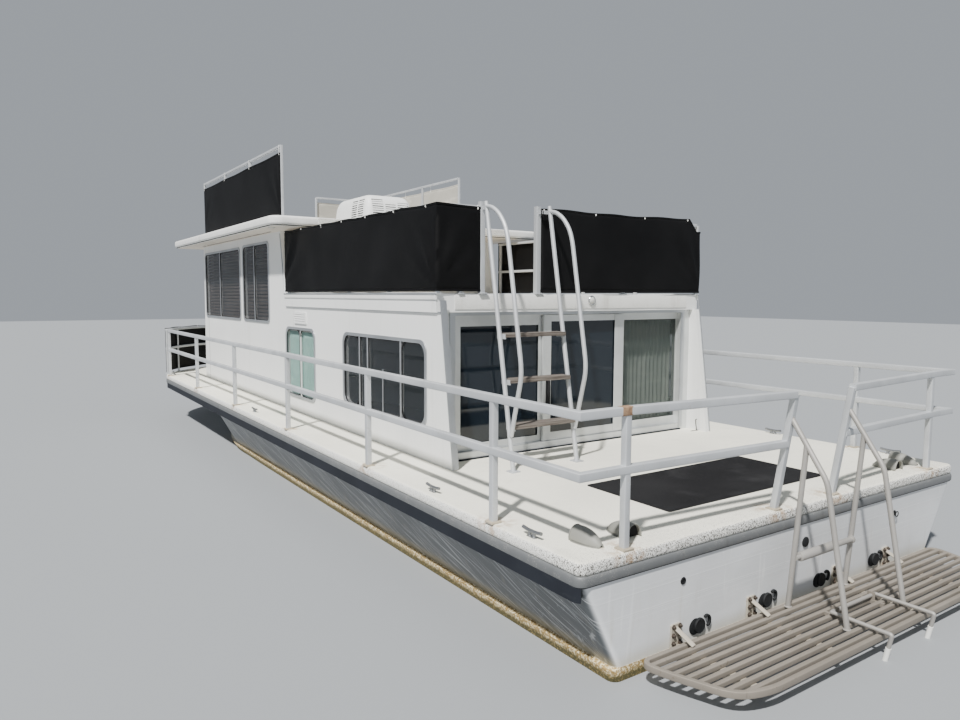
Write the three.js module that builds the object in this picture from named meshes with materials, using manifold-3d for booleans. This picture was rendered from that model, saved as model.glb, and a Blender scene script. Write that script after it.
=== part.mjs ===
// Cabin houseboat with a squared stern, a raised pilothouse and a boarding platform, in millimetres.
// +Y points to the bow, +X to starboard, +Z up. Stations are measured forward from the transom and
// heights from the waterline; every node is moved at the end so that the origin lies amidships.
import * as THREE from "three";
import { mergeVertices } from "three/addons/utils/BufferGeometryUtils.js";
import Module from "manifold-3d";

const wasm = await Module();
wasm.setup();

const AMIDSHIPS = 6300;
const GAP = 0.3;

// Hull and deck
const HALF_BEAM = 2134;
const LIP_LOW = 640;
const DECK_LOW = 700;
const DECK_TOP = 775;
const DECK_AFT = -12;
const TRANSOM_RAKE = 30;
const BOW_START = 10950;
const CORNER = 60;
const LEDGE = { wide: 32, share: 0.15, high: 6 };
const STATIONS = [
  { y: 0, keel: -300, chine: 1600, chineZ: -150, mid: 1845, midZ: 79, sheer: 2105 },
  { y: 1600, keel: -360, chine: 1640, chineZ: -170, mid: 1845, midZ: 79, sheer: 2112 },
  { y: 3500, keel: -400, chine: 1660, chineZ: -180, mid: 1845, midZ: 79, sheer: 2115 },
  { y: 5500, keel: -400, chine: 1650, chineZ: -170, mid: 1845, midZ: 79, sheer: 2115 },
  { y: 6900, keel: -390, chine: 1600, chineZ: -140, mid: 1845, midZ: 80, sheer: 2115 },
  { y: 7800, keel: -370, chine: 1470, chineZ: -100, mid: 1835, midZ: 90, sheer: 2085 },
  { y: 8700, keel: -330, chine: 1230, chineZ: -40, mid: 1610, midZ: 120, sheer: 1970 },
  { y: 9600, keel: -260, chine: 930, chineZ: 40, mid: 1240, midZ: 180, sheer: 1730 },
  { y: 10400, keel: -130, chine: 600, chineZ: 140, mid: 840, midZ: 270, sheer: 1400 },
  { y: 11100, keel: 60, chine: 290, chineZ: 260, mid: 450, midZ: 370, sheer: 1000 },
  { y: 11700, keel: 330, chine: 90, chineZ: 420, mid: 170, midZ: 480, sheer: 560 },
  { y: 12100, keel: 560, chine: 15, chineZ: 590, mid: 40, midZ: 610, sheer: 170 },
];
const BOW_EDGE = [
  { x: 2134, y: 10950 },
  { x: 2070, y: 11200 },
  { x: 1850, y: 11560 },
  { x: 1500, y: 11930 },
  { x: 1100, y: 12250 },
  { x: 600, y: 12520 },
  { x: 220, y: 12635 },
  { x: 0, y: 12660 },
];
const BAND = { thick: 14, low: 552, top: LIP_LOW - GAP, x: 2125, turn: 56.5, fwd: 10900 };
// Height of each level of a rounded edge, with how far it stands in from the full outline
const LIP_EDGE = [[LIP_LOW, 0], [LIP_LOW + 40, 0], [LIP_LOW + 54, 4], [DECK_LOW - GAP, 12]];
const DECK_EDGE = [[DECK_LOW, 9], [DECK_LOW + 22, 7], [DECK_TOP - 20, 9], [DECK_TOP - 7, 14], [DECK_TOP, 30]];

// Cabin well, its sole and the two engines under the aft deck
const WELL = { half: 1440, aft: 2520, narrow: 8500, mid: [1290, 9300], nose: 880, fwd: 10080, low: 200 };
const SOLE_THICK = 18;
const ENGINE = { x: 720, half: 260, aft: 820, fwd: 1980, low: -90, top: 520, clear: 40 };

// Cabin
const CABIN_HALF = 1600;
const WALL = 50;
const ROOF_LOW = 2060;
const ROOF_TOP = 2217;
const ROOF_HALF = 1619;
const ROOF_AFT = 2339;
const STEP_Y = 6080;
const FIN_FOOT = 2134;
const PILOT_AFT_TOP = 6264;
const PILOT_FWD_FOOT = 10290;
const PILOT_FWD_TOP = 10209;
const PILOT_LOW = 3000;
const PILOT_TOP = 3118;
const PILOT_ROOF = { half: 1960, aft: 5490, fwd: 10850, corner: 150 };
const PILOT_EDGE = [[PILOT_LOW, 46], [PILOT_LOW + 22, 10], [PILOT_LOW + 36, 0], [PILOT_TOP - 30, 0],
  [PILOT_TOP - 10, 8], [PILOT_TOP, 28]];
const SIDE_WINDOWS = [
  { name: "pilot_fwd", y0: 8073, y1: 10105, z0: 1848, z1: 2868, r: 70, bars: [9189] },
  { name: "pilot_aft", y0: 6750, y1: 7894, z0: 1848, z1: 2882, r: 70, bars: [7378] },
  { name: "galley", y0: 5145, y1: 6080, z0: 975, z1: 1785, r: 110, bars: [5616] },
  { name: "saloon", y0: 2575, y1: 4300, z0: 1077, z1: 1793, r: 110, bars: [3027, 3724, 3912] },
];
const WINDOW_FRAME = { wide: 26, proud: 9, inset: 5, bar: 26, barProud: 4 };
const WALL_VENT = { y0: 5387, y1: 5775, z0: 1861, z1: 1994, proud: 14, slots: 4, slot: 14 };
const ROOF_TRIM = { proud: 9, low: 2168, top: 2224 };
const GLASS_THICK = 6;
const GLASS_INSET = 22;

// Stern door: a fixed panel to each side in the frame, and one leaf that slides to starboard past them
const DOOR = { low: 840, top: 2030, half: 1470, plane: 2400, jamb: 60, depth: 110 };
const LEAF = { x0: -432, x1: 588, stile: 88, fixedStile: 60, foot: 75, head: 60, thick: 26 };
const PULL = { x: -387, low: 1154, high: 1409, reach: 34, r: 10 };

// Fore door
const FORE_DOOR = { x0: -330, x1: 330, z0: 800, z1: 2620, thick: 36 };
const FORE_HINGE = { x: 326.5, off: 11, r: 9, half: 42, z: [1000, 1750, 2450] };
const FORE_WINDOWS = [
  { x0: -1440, x1: -480, z0: 1848, z1: 2850 },
  { x0: 480, x1: 1440, z0: 1848, z1: 2850 },
];

// Deck rails
const RAIL = { x: 2093, top: 1592, mid: 1259, tube: 50, post: 44, foot: 110, footThick: 8 };
const SIDE_POSTS = [851, 2679, 4664, 6684, 8753, 10802];
const STERN_POST_X = 1753;
const GATE = { x: 345, footY: 49, topY: -75 };
const BOW_RAIL_INSET = 55;
const BOW_TUBE = 40;
const BOW_POST = 27;
const BOW_POSTS = [0, 2, 4, 6];

// Roof rails and their canvas
const ROOF_RAIL = { x: 1600, aft: 2370, fwd: 5990, top: 2960, tube: 32, gatePost: 48 };
const ROOF_POSTS = [3250, 4150, 5050];
const ROOF_GATE = [-1165, -560];
const PILOT_RAIL = { top: 4000, tube: 30, portX: -1680, portAft: 5915, portFwd: 9670, starX: 1372, starAft: 6750,
  front: 10150, frontX: 400 };
const CLOTH = 10;

// Roof ladder
const LADDER = {
  portFoot: [-1205, 1836, DECK_TOP], portTop: [-1165, 2302, 2990],
  starFoot: [-515, 1846, DECK_TOP], starTop: [-478, 2302, 2995],
  tube: 17, grab: 16, reach: 255,
};
const TREADS = [1148, 1517, 1890];

// Stern platform, boarding stair and swim ladder
const PLATFORM = { half: 1720, aft: -650, fwd: -42, top: 145, frame: 38, slat: 36, slats: 9, corner: 330,
  brackets: [-1334, -605, 390, 1089] };
const EXHAUST = { x: [-1130, -442, 194, 931], z: 172, pipe: 48, flange: 56 };
const STAIR = { x: 345, tube: 16 };
const SWIM = { x: [-250, 280], hinge: [-330, 172], knee: -712, low: -150, tube: 13 };

// Running gear
const GEAR = { x: 720, shaftR: 16, propY: 620, propZ: -470, strutY: 770, shaftEnd: 2100, slope: 0.16,
  rudderY: 300, stockR: 17, stockTop: -190, play: 1 };
const shaftZ = (y) => GEAR.propZ + (y - GEAR.propY) * GEAR.slope;

// Blade sections: radius, chord, thickness and pitch angle in degrees
const BLADE = [
  { r: 28, chord: 64, thick: 16, pitch: 62 },
  { r: 75, chord: 112, thick: 13, pitch: 48 },
  { r: 125, chord: 142, thick: 10, pitch: 36 },
  { r: 175, chord: 124, thick: 8, pitch: 29 },
  { r: 203, chord: 58, thick: 5, pitch: 26 },
];

// Roof unit, with its louvres in three groups aft and two on the port side
const AIRCON = { x: -20, y: 6880, half: 340, length: 1080, louvre: 12, pitch: 30, deep: 30 };
const UNIT_RINGS = [[0, 0.97], [50, 1], [190, 0.99], [290, 0.96], [360, 0.91], [408, 0.82], [430, 0.7],
  [435, 0.55]];
const LOUVRES = [
  { face: "aft", from: -270, to: -105, low: 80, rows: 9 },
  { face: "aft", from: -75, to: 85, low: 80, rows: 7 },
  { face: "aft", from: 115, to: 280, low: 80, rows: 8 },
  { face: "port", from: -440, to: -270, low: 80, rows: 9 },
  { face: "port", from: -230, to: -60, low: 80, rows: 9 },
];

// Deck fittings: cowl vents and cleats
const VENT = { at: [[-1866, 250, -1], [-1572, 250, 1], [1500, 245, 1], [1800, 245, -1]], half: 61, length: 206,
  high: 82 };
const CLEAT = { at: [[2062, 494], [2050, 1680], [2050, 6003]], half: 88, high: 42, tube: 11, foot: 24 };

const group = new THREE.Group();
const FINISH = {
  gelcoat: ["#e4e6e4", 0.35, 0],
  topsides: ["#dfe2e2", 0.4, 0],
  nonskid: ["#e6e2d0", 0.85, 0],
  lip: ["#aeb2b4", 0.5, 0],
  rubber: ["#14171b", 0.7, 0],
  aluminium: ["#b6babd", 0.42, 1],
  canvas: ["#121316", 0.9, 0],
  beige: ["#b9b4a6", 0.9, 0],
  glass: ["#20282c", 0.08, 0],
  platform: ["#8e877c", 0.6, 1],
  bronze: ["#8d6b3c", 0.4, 1],
  iron: ["#4b4f53", 0.6, 1],
  vinyl: ["#7a6a55", 0.7, 0],
  mat: ["#17181a", 0.95, 0],
  unit: ["#eceeed", 0.5, 0],
};

function add(name, geometry, finish) {
  const [colour, roughness, metalness] = FINISH[finish];
  const placed = geometry.clone().translate(0, -AMIDSHIPS, 0);
  const mesh = new THREE.Mesh(placed, new THREE.MeshStandardMaterial({ color: colour, roughness, metalness }));
  mesh.name = name;
  group.add(mesh);
}

// Boolean work
function toSolid(geometry) {
  const bare = new THREE.BufferGeometry();
  const source = geometry.index ? geometry.toNonIndexed() : geometry;
  bare.setAttribute("position", source.getAttribute("position").clone());
  const merged = mergeVertices(bare, 1e-3);
  return new wasm.Manifold(new wasm.Mesh({
    numProp: 3,
    vertProperties: Float32Array.from(merged.getAttribute("position").array),
    triVerts: Uint32Array.from(merged.index.array),
  }));
}

function toGeometry(solid) {
  const mesh = solid.getMesh();
  const geometry = new THREE.BufferGeometry();
  const points = new Float32Array(mesh.numVert * 3);
  for (let i = 0; i < mesh.numVert; i++) {
    for (let k = 0; k < 3; k++) points[i * 3 + k] = mesh.vertProperties[i * mesh.numProp + k];
  }
  geometry.setAttribute("position", new THREE.BufferAttribute(points, 3));
  geometry.setIndex(Array.from(mesh.triVerts));
  geometry.computeVertexNormals();
  return geometry;
}

const union = (pieces) => toGeometry(pieces.map(toSolid).reduce((sum, piece) => sum.add(piece)));
const cut = (body, tools) => toGeometry(tools.reduce((left, tool) => left.subtract(toSolid(tool)), toSolid(body)));
const common = (a, b) => toGeometry(toSolid(a).intersect(toSolid(b)));

// Shapes
function block(x0, x1, y0, y1, z0, z1) {
  return new THREE.BoxGeometry(x1 - x0, y1 - y0, z1 - z0).translate((x0 + x1) / 2, (y0 + y1) / 2, (z0 + z1) / 2);
}

function between(geometry, a, b) {
  const from = new THREE.Vector3(...a);
  const along = new THREE.Vector3(...b).sub(from);
  const turn = new THREE.Matrix4();
  const forward = along.clone().normalize();
  const side = new THREE.Vector3(0, 0, 1).cross(forward);
  if (side.lengthSq() < 1e-6) side.set(1, 0, 0);
  side.normalize();
  turn.makeBasis(side, forward.clone().cross(side), forward);
  turn.setPosition(from.addScaledVector(along, 0.5));
  return geometry.applyMatrix4(turn);
}

const span = (a, b) => new THREE.Vector3(...a).distanceTo(new THREE.Vector3(...b));
const bar = (a, b, wide, deep = wide) => between(new THREE.BoxGeometry(wide, deep, span(a, b)), a, b);
const rod = (a, b, radius, sides = 8) =>
  between(new THREE.CylinderGeometry(radius, radius, span(a, b), sides).rotateX(Math.PI / 2), a, b);
const knob = (at, radius) => new THREE.SphereGeometry(radius, 8, 4).translate(...at);

function tubeRun(points, radius, sides = 8) {
  const pieces = [];
  points.slice(1).forEach((point, i) => pieces.push(rod(points[i], point, radius, sides)));
  points.slice(1, -1).forEach((point) => pieces.push(knob(point, radius * 1.01)));
  return pieces;
}

function barRun(points, wide) {
  const pieces = [];
  points.slice(1).forEach((point, i) => pieces.push(bar(points[i], point, wide)));
  const half = wide / 2;
  const joint = new THREE.CylinderGeometry(half * 1.02, half * 1.02, wide, 8).rotateX(Math.PI / 2);
  points.slice(1, -1).forEach(([x, y, z]) => pieces.push(joint.clone().translate(x, y, z)));
  return pieces;
}

function roundedPath(path, x0, x1, y0, y1, r) {
  path.moveTo(x0 + r, y0);
  path.lineTo(x1 - r, y0);
  path.quadraticCurveTo(x1, y0, x1, y0 + r);
  path.lineTo(x1, y1 - r);
  path.quadraticCurveTo(x1, y1, x1 - r, y1);
  path.lineTo(x0 + r, y1);
  path.quadraticCurveTo(x0, y1, x0, y1 - r);
  path.lineTo(x0, y0 + r);
  path.quadraticCurveTo(x0, y0, x0 + r, y0);
  return path;
}

const outline = (points) => new THREE.Shape(points.map(([a, b]) => new THREE.Vector2(a, b)));
const extrude = (shape, depth) => new THREE.ExtrudeGeometry(shape, { depth, bevelEnabled: false, curveSegments: 5 });
const plateZ = (shape, z0, z1) => extrude(shape, z1 - z0).translate(0, 0, z0);

// A plate drawn in Y and Z, thick along X
function plateX(shape, x0, x1) {
  const turn = new THREE.Matrix4().makeBasis(
    new THREE.Vector3(0, 1, 0), new THREE.Vector3(0, 0, 1), new THREE.Vector3(1, 0, 0));
  return extrude(shape, x1 - x0).applyMatrix4(turn).translate(x0, 0, 0);
}

// A plate drawn in X and Z, thick along Y
function plateY(shape, y0, y1) {
  const turn = new THREE.Matrix4().makeBasis(
    new THREE.Vector3(1, 0, 0), new THREE.Vector3(0, 0, 1), new THREE.Vector3(0, -1, 0));
  return extrude(shape, y1 - y0).applyMatrix4(turn).translate(0, y1, 0);
}

// Moves each point along Y in proportion to its height, to rake or lean a panel
function lean(geometry, z0, z1, shift) {
  const place = geometry.getAttribute("position");
  for (let i = 0; i < place.count; i++) {
    place.setY(i, place.getY(i) + (shift * (place.getZ(i) - z0)) / (z1 - z0));
  }
  return geometry;
}

// A closed body through rings of points, with flat ends
function loft(rings) {
  const points = rings.flat();
  const n = rings[0].length;
  const faces = [];
  for (let r = 0; r + 1 < rings.length; r++) {
    for (let i = 0; i < n; i++) {
      const a = r * n + i;
      const b = r * n + ((i + 1) % n);
      faces.push(a, b, b + n, a, b + n, a + n);
    }
  }
  const last = (rings.length - 1) * n;
  const flat = rings[0].map(([x, , z]) => new THREE.Vector2(x, z));
  THREE.ShapeUtils.triangulateShape(flat, []).forEach(([a, b, c]) => faces.push(a, c, b));
  const end = rings[rings.length - 1].map(([x, , z]) => new THREE.Vector2(x, z));
  THREE.ShapeUtils.triangulateShape(end, []).forEach(([a, b, c]) => faces.push(last + a, last + b, last + c));
  const geometry = new THREE.BufferGeometry();
  geometry.setAttribute("position", new THREE.Float32BufferAttribute(points.flat(), 3));
  geometry.setIndex(faces);
  return outward(geometry);
}

// A body from anticlockwise plan outlines of equal length, one for each height
const stack = (layers) =>
  loft(layers.map(([path, z]) => path.map(([x, y]) => [x, z, -y]).reverse())).rotateX(Math.PI / 2);

// The rows of a table with one more row between each two, on a smooth curve
function smooth(rows) {
  const middle = (a, b, c, d) => (9 * (b + c) - a - d) / 16;
  return rows.flatMap((row, i) => {
    if (i === rows.length - 1) return [row];
    const [a, b, c, d] = [rows[Math.max(0, i - 1)], row, rows[i + 1], rows[Math.min(rows.length - 1, i + 2)]];
    return [row, Object.fromEntries(Object.keys(row).map((key) => [key, middle(a[key], b[key], c[key], d[key])]))];
  });
}

function outward(geometry) {
  const place = geometry.getAttribute("position");
  const index = geometry.index.array;
  const at = (i) => new THREE.Vector3().fromBufferAttribute(place, i);
  let volume = 0;
  for (let i = 0; i < index.length; i += 3) {
    volume += at(index[i]).dot(at(index[i + 1]).cross(at(index[i + 2])));
  }
  if (volume < 0) {
    const turned = Array.from(index);
    for (let i = 0; i < turned.length; i += 3) [turned[i + 1], turned[i + 2]] = [turned[i + 2], turned[i + 1]];
    geometry.setIndex(turned);
  }
  return geometry;
}

// Hull: a flared side down to a ledge, a near upright strip to the waterline and a shallow vee below
const RAKE_END = 600;
const rake = (z, y) => (TRANSOM_RAKE * Math.max(0, 1 - y / RAKE_END) * (LIP_LOW - z)) / (LIP_LOW - 80);
const QUARTER = [0, 30, 60, 90].map((degrees) => THREE.MathUtils.degToRad(degrees));
function hullRing({ y, keel, chine, chineZ, mid, midZ, sheer, tuck = 0 }) {
  const step = Math.min(LEDGE.wide, LEDGE.share * mid);
  const half = [[sheer, LIP_LOW - GAP], [mid - step, midZ + LEDGE.high], [mid, midZ],
    [mid + (chine - mid) * 0.08, midZ + (chineZ - midZ) * 0.35], [chine, chineZ]].map(([x, z]) => [x - tuck, z]);
  const ring = [...half.map(([x, z]) => [-x, z]), [0, keel], ...half.reverse()];
  return ring.map(([x, z]) => [x, y + rake(z, y), z]);
}
const [sternRow, ...foreRows] = smooth(STATIONS);
const sternRows = QUARTER.map((a) =>
  ({ ...sternRow, y: CORNER * (1 - Math.cos(a)), tuck: CORNER * (1 - Math.sin(a)) }));
const hullLoft = (drop = 0) => loft([...sternRows, ...foreRows].map((row) =>
  hullRing({ ...row, keel: row.keel - drop, chineZ: row.chineZ - drop })));
const wellHole = block(-WELL.half, WELL.half, WELL.aft, WELL.fwd, WELL.low, 900);
const enginePocket = (x) => block(x - ENGINE.half - ENGINE.clear, x + ENGINE.half + ENGINE.clear,
  ENGINE.aft - ENGINE.clear, ENGINE.fwd + ENGINE.clear, ENGINE.low, 900);
// Plan of the well, which narrows with the bow; the sole is the same with a margin
function wellPlan(margin) {
  const half = [[WELL.half, WELL.aft + margin], [WELL.half, WELL.narrow], [WELL.mid[0], WELL.mid[1] - margin],
    [WELL.nose, WELL.fwd - margin]].map(([x, y]) => [x - margin, y]);
  return outline([...half, ...half.reverse().map(([x, y]) => [-x, y])]);
}
const hullWell = plateZ(wellPlan(0), WELL.low, 900);
const gearBores = [-GEAR.x, GEAR.x].flatMap((x) => [
  rod([x, GEAR.shaftEnd - 700, shaftZ(GEAR.shaftEnd - 700)], [x, GEAR.shaftEnd + 6, shaftZ(GEAR.shaftEnd + 6)],
    GEAR.shaftR + GEAR.play, 16),
  rod([x, GEAR.rudderY, -500], [x, GEAR.rudderY, GEAR.stockTop + 6], GEAR.stockR + GEAR.play, 16),
]);
const exhausts = EXHAUST.x.flatMap((x) => [[EXHAUST.pipe, 80, -6], [EXHAUST.flange, 60, 14]].map(([r, y0, y1]) =>
  rod([x, y0, EXHAUST.z], [x, y1, EXHAUST.z], r, 14)));
add("hull", union([cut(hullLoft(), [hullWell, enginePocket(-ENGINE.x), enginePocket(ENGINE.x), ...gearBores]),
  ...exhausts]), "topsides");

// Deck outline, each point moved in along its normal
const bowCurve = new THREE.SplineCurve(BOW_EDGE.map(({ x, y }) => new THREE.Vector2(x, y)));
const BOW_STEPS = 3 * (BOW_EDGE.length - 1);
function deckPath(inset) {
  const turn = QUARTER.map((a) => [HALF_BEAM - CORNER + (CORNER - inset) * Math.sin(a),
    DECK_AFT + CORNER - (CORNER - inset) * Math.cos(a)]);
  const bow = Array.from({ length: BOW_STEPS }, (_, i) => {
    const at = bowCurve.getPoint(i / BOW_STEPS);
    const along = bowCurve.getTangent(i / BOW_STEPS);
    return [at.x - along.y * inset, at.y + along.x * inset];
  });
  const half = [...turn, ...bow];
  return [...half, [0, BOW_EDGE.at(-1).y - inset], ...half.reverse().map(([x, y]) => [-x, y])];
}
const rim = (levels) => stack(levels.map(([z, inset]) => [deckPath(inset), z]));
add("gunwale", cut(rim(LIP_EDGE), [wellHole]), "lip");

// A cowl vent: half an oval, open aft where the last number is 1 and forward where it is -1
function cowl([x, y, way]) {
  const rows = [[0, 0.97], [0.3, 1], [0.6, 0.86], [0.85, 0.56], [1, 0.2]];
  const rings = rows.map(([t, k]) => [...Array(9).keys()].map((i) => {
    const a = (Math.PI * i) / 8;
    const along = VENT.length * (t - 0.5) * way;
    return [x + VENT.half * k * Math.cos(a), y + along, DECK_TOP + VENT.high * k * Math.sin(a) - 1];
  }));
  const [mouthY, mouthZ] = [y - VENT.length * way, DECK_TOP + 6];
  const mouth = rod([x, mouthY, mouthZ], [x, y - VENT.length * 0.3 * way, mouthZ], VENT.half - 12, 16);
  const above = block(x - VENT.half, x + VENT.half, Math.min(y, mouthY), Math.max(y, mouthY), DECK_TOP + 4,
    DECK_TOP + VENT.high);
  return cut(loft(rings), [common(mouth, above)]);
}
function cleat([x, y]) {
  const { half, high, tube, foot } = CLEAT;
  const top = DECK_TOP + high;
  const feet = [-foot, foot].map((d) => rod([x, y + d, DECK_TOP - 2], [x, y + d, top], 10, 6));
  return [rod([x, y - half, top], [x, y + half, top], tube), ...feet,
    block(x - 17, x + 17, y - foot - 20, y + foot + 20, DECK_TOP - 2, DECK_TOP + 5)];
}
add("deck", union([cut(rim(DECK_EDGE), [wellHole]), ...VENT.at.map(cowl),
  ...CLEAT.at.flatMap(([x, y]) => [...cleat([-x, y]), ...cleat([x, y])])]), "nonskid");
add("cabin_sole", plateZ(wellPlan(15), WELL.low + GAP, WELL.low + SOLE_THICK), "vinyl");
for (const [side, s] of [["port", -1], ["starboard", 1]]) {
  const x = s * ENGINE.x;
  const { half, aft, fwd, low, top } = ENGINE;
  add(`engine_${side}`, block(x - half, x + half, aft, fwd, low + GAP, top), "iron");
}

// Cabin sides with their windows
function sideShape() {
  const finTop = FIN_FOOT + ((ROOF_AFT - FIN_FOOT) * (ROOF_LOW - DECK_TOP)) / (ROOF_TOP - DECK_TOP);
  const shape = outline([
    [FIN_FOOT, DECK_TOP + GAP], [PILOT_FWD_FOOT, DECK_TOP + GAP], [PILOT_FWD_TOP, PILOT_LOW - GAP],
    [PILOT_AFT_TOP, PILOT_LOW - GAP], [STEP_Y + GAP, ROOF_TOP + 1], [STEP_Y + GAP, ROOF_LOW - GAP],
    [finTop, ROOF_LOW - GAP],
  ]);
  SIDE_WINDOWS.forEach((w) => shape.holes.push(roundedPath(new THREE.Path(), w.y0, w.y1, w.z0, w.z1, w.r)));
  return shape;
}
function windowFrame({ y0, y1, z0, z1, r, bars }, face) {
  const { wide, proud, inset, bar: width, barProud } = WINDOW_FRAME;
  const ring = roundedPath(new THREE.Shape(), y0 - wide, y1 + wide, z0 - wide, z1 + wide, r + wide);
  ring.holes.push(roundedPath(new THREE.Path(), y0 + inset, y1 - inset, z0 + inset, z1 - inset, r - inset));
  const [a, b] = face(CABIN_HALF - GLASS_INSET + GAP, CABIN_HALF + barProud);
  return [plateX(ring, ...face(CABIN_HALF - 2, CABIN_HALF + proud)),
    ...bars.map((y) => block(a, b, y - width / 2, y + width / 2, z0 - 4, z1 + 4))];
}
function wallVent(face) {
  const { y0, y1, z0, z1, proud, slots, slot } = WALL_VENT;
  const [a, b] = face(CABIN_HALF - 2, CABIN_HALF + proud);
  const grooves = face(CABIN_HALF + proud - 9, CABIN_HALF + proud + 4);
  const gap = (z1 - z0 - 30) / slots;
  const cuts = Array.from({ length: slots }, (_, i) =>
    block(...grooves, y0 + 20, y1 - 20, z0 + 15 + gap * (i + 0.5) - slot / 2, z0 + 15 + gap * (i + 0.5) + slot / 2));
  return cut(block(a, b, y0, y1, z0, z1), cuts);
}
for (const [side, s] of [["port", -1], ["starboard", 1]]) {
  const x0 = s > 0 ? CABIN_HALF - WALL : -CABIN_HALF;
  const face = (inner, outer) => (s > 0 ? [inner, outer] : [-outer, -inner]);
  add(`cabin_side_${side}`, union([plateX(sideShape(), x0, x0 + WALL),
    ...SIDE_WINDOWS.flatMap((w) => windowFrame(w, face)), wallVent(face)]), "gelcoat");
  for (const w of SIDE_WINDOWS) {
    const pane = roundedPath(new THREE.Shape(), w.y0 + GAP, w.y1 - GAP, w.z0 + GAP, w.z1 - GAP, w.r);
    const g0 = s > 0 ? CABIN_HALF - GLASS_INSET - GLASS_THICK : -CABIN_HALF + GLASS_INSET;
    add(`glass_${w.name}_${side}`, plateX(pane, g0, g0 + GLASS_THICK), "glass");
  }
}

// Roofs and bulkheads
const inside = CABIN_HALF - WALL - GAP;
const roofPlate = plateZ(outline([[-ROOF_HALF, ROOF_AFT + 26], [-900, ROOF_AFT + 7], [0, ROOF_AFT],
  [900, ROOF_AFT + 7], [ROOF_HALF, ROOF_AFT + 26], [ROOF_HALF, STEP_Y], [-ROOF_HALF, STEP_Y]]), ROOF_LOW, ROOF_TOP);
const roofTrims = [[-ROOF_HALF - ROOF_TRIM.proud, -ROOF_HALF + 2], [ROOF_HALF - 2, ROOF_HALF + ROOF_TRIM.proud]]
  .map(([x0, x1]) => block(x0, x1, ROOF_AFT + 20, STEP_Y, ROOF_TRIM.low, ROOF_TRIM.top));
add("main_roof", union([roofPlate, ...roofTrims]), "gelcoat");
const stepLean = PILOT_AFT_TOP - STEP_Y;
add("step_bulkhead", lean(block(-inside, inside, STEP_Y + GAP, STEP_Y + WALL, ROOF_LOW, PILOT_LOW - GAP),
  ROOF_LOW, PILOT_LOW, stepLean), "gelcoat");
function pilotPath(inset) {
  const { half, aft, fwd, corner } = PILOT_ROOF;
  const plan = roundedPath(new THREE.Shape(), -half + inset, half - inset, aft + inset, fwd - inset, corner - inset);
  return plan.getPoints(6).slice(0, -1).map(({ x, y }) => [x, y]);
}
add("pilot_roof", stack(PILOT_EDGE.map(([z, inset]) => [pilotPath(inset), z])), "gelcoat");

const foreShape = outline([[-inside, DECK_TOP + GAP], [inside, DECK_TOP + GAP], [inside, PILOT_LOW - GAP],
  [-inside, PILOT_LOW - GAP]]);
[...FORE_WINDOWS, FORE_DOOR].forEach(({ x0, x1, z0, z1 }) =>
  foreShape.holes.push(roundedPath(new THREE.Path(), x0, x1, z0, z1, 40)));
const foreLean = PILOT_FWD_TOP - PILOT_FWD_FOOT;
const leanFore = (geometry) => lean(geometry, DECK_TOP, PILOT_LOW, foreLean);
const hingeFace = PILOT_FWD_FOOT + FORE_HINGE.off;
const knuckle = (z0, z1) => rod([FORE_HINGE.x, hingeFace, z0], [FORE_HINGE.x, hingeFace, z1], FORE_HINGE.r, 12);
const flap = (x0, x1, z0, z1) => block(x0, x1, PILOT_FWD_FOOT - 4, hingeFace, z0, z1);
const frameHinges = FORE_HINGE.z.flatMap((z) => [knuckle(z + 2 * GAP, z + FORE_HINGE.half),
  flap(FORE_HINGE.x + 5, FORE_HINGE.x + 26, z + 2 * GAP, z + FORE_HINGE.half)]);
const leafHinges = FORE_HINGE.z.flatMap((z) => [knuckle(z - FORE_HINGE.half, z),
  flap(FORE_HINGE.x - 26, FORE_HINGE.x - 5, z - FORE_HINGE.half, z)]);
add("cabin_front", leanFore(union([plateY(foreShape, PILOT_FWD_FOOT - WALL, PILOT_FWD_FOOT), ...frameHinges])),
  "gelcoat");
const foreLeaf = roundedPath(new THREE.Shape(), FORE_DOOR.x0 + 7, FORE_DOOR.x1 - 7, FORE_DOOR.z0 + 7,
  FORE_DOOR.z1 - 7, 36);
add("fore_door", leanFore(union([plateY(foreLeaf, PILOT_FWD_FOOT - FORE_DOOR.thick, PILOT_FWD_FOOT), ...leafHinges])),
  "gelcoat");
FORE_WINDOWS.forEach(({ x0, x1, z0, z1 }, i) => {
  const pane = roundedPath(new THREE.Shape(), x0 + GAP, x1 - GAP, z0 + GAP, z1 - GAP, 40);
  const front = PILOT_FWD_FOOT - GLASS_INSET;
  add(`glass_fore_${i ? "starboard" : "port"}`, leanFore(plateY(pane, front - GLASS_THICK, front)), "glass");
});

// Stern door frame with the two fixed panels, and the two sliding leaves
const doorIn = DOOR.half - DOOR.jamb;
const frameShape = outline([[-inside, DECK_TOP + GAP], [inside, DECK_TOP + GAP], [inside, ROOF_LOW - GAP],
  [-inside, ROOF_LOW - GAP]]);
frameShape.holes.push(outline([[-doorIn, DOOR.low], [doorIn, DOOR.low], [doorIn, DOOR.top], [-doorIn, DOOR.top]]));
const paneRing = ([x0, x1, z0, z1], [a, b, low, top]) => {
  const ring = outline([[x0, z0], [x1, z0], [x1, z1], [x0, z1]]);
  ring.holes.push(outline([[a, low], [b, low], [b, top], [a, top]]));
  return ring;
};
const paneBlock = ([a, b, low, top], y) => {
  const y0 = y + (LEAF.thick - GLASS_THICK) / 2;
  return block(a + GAP, b - GAP, y0, y0 + GLASS_THICK, low + GAP, top - GAP);
};
const fixedPlane = DOOR.plane + 58;
const [leftStile, rightStile] = [LEAF.x0 + LEAF.stile, LEAF.x1 - LEAF.stile];
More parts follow.
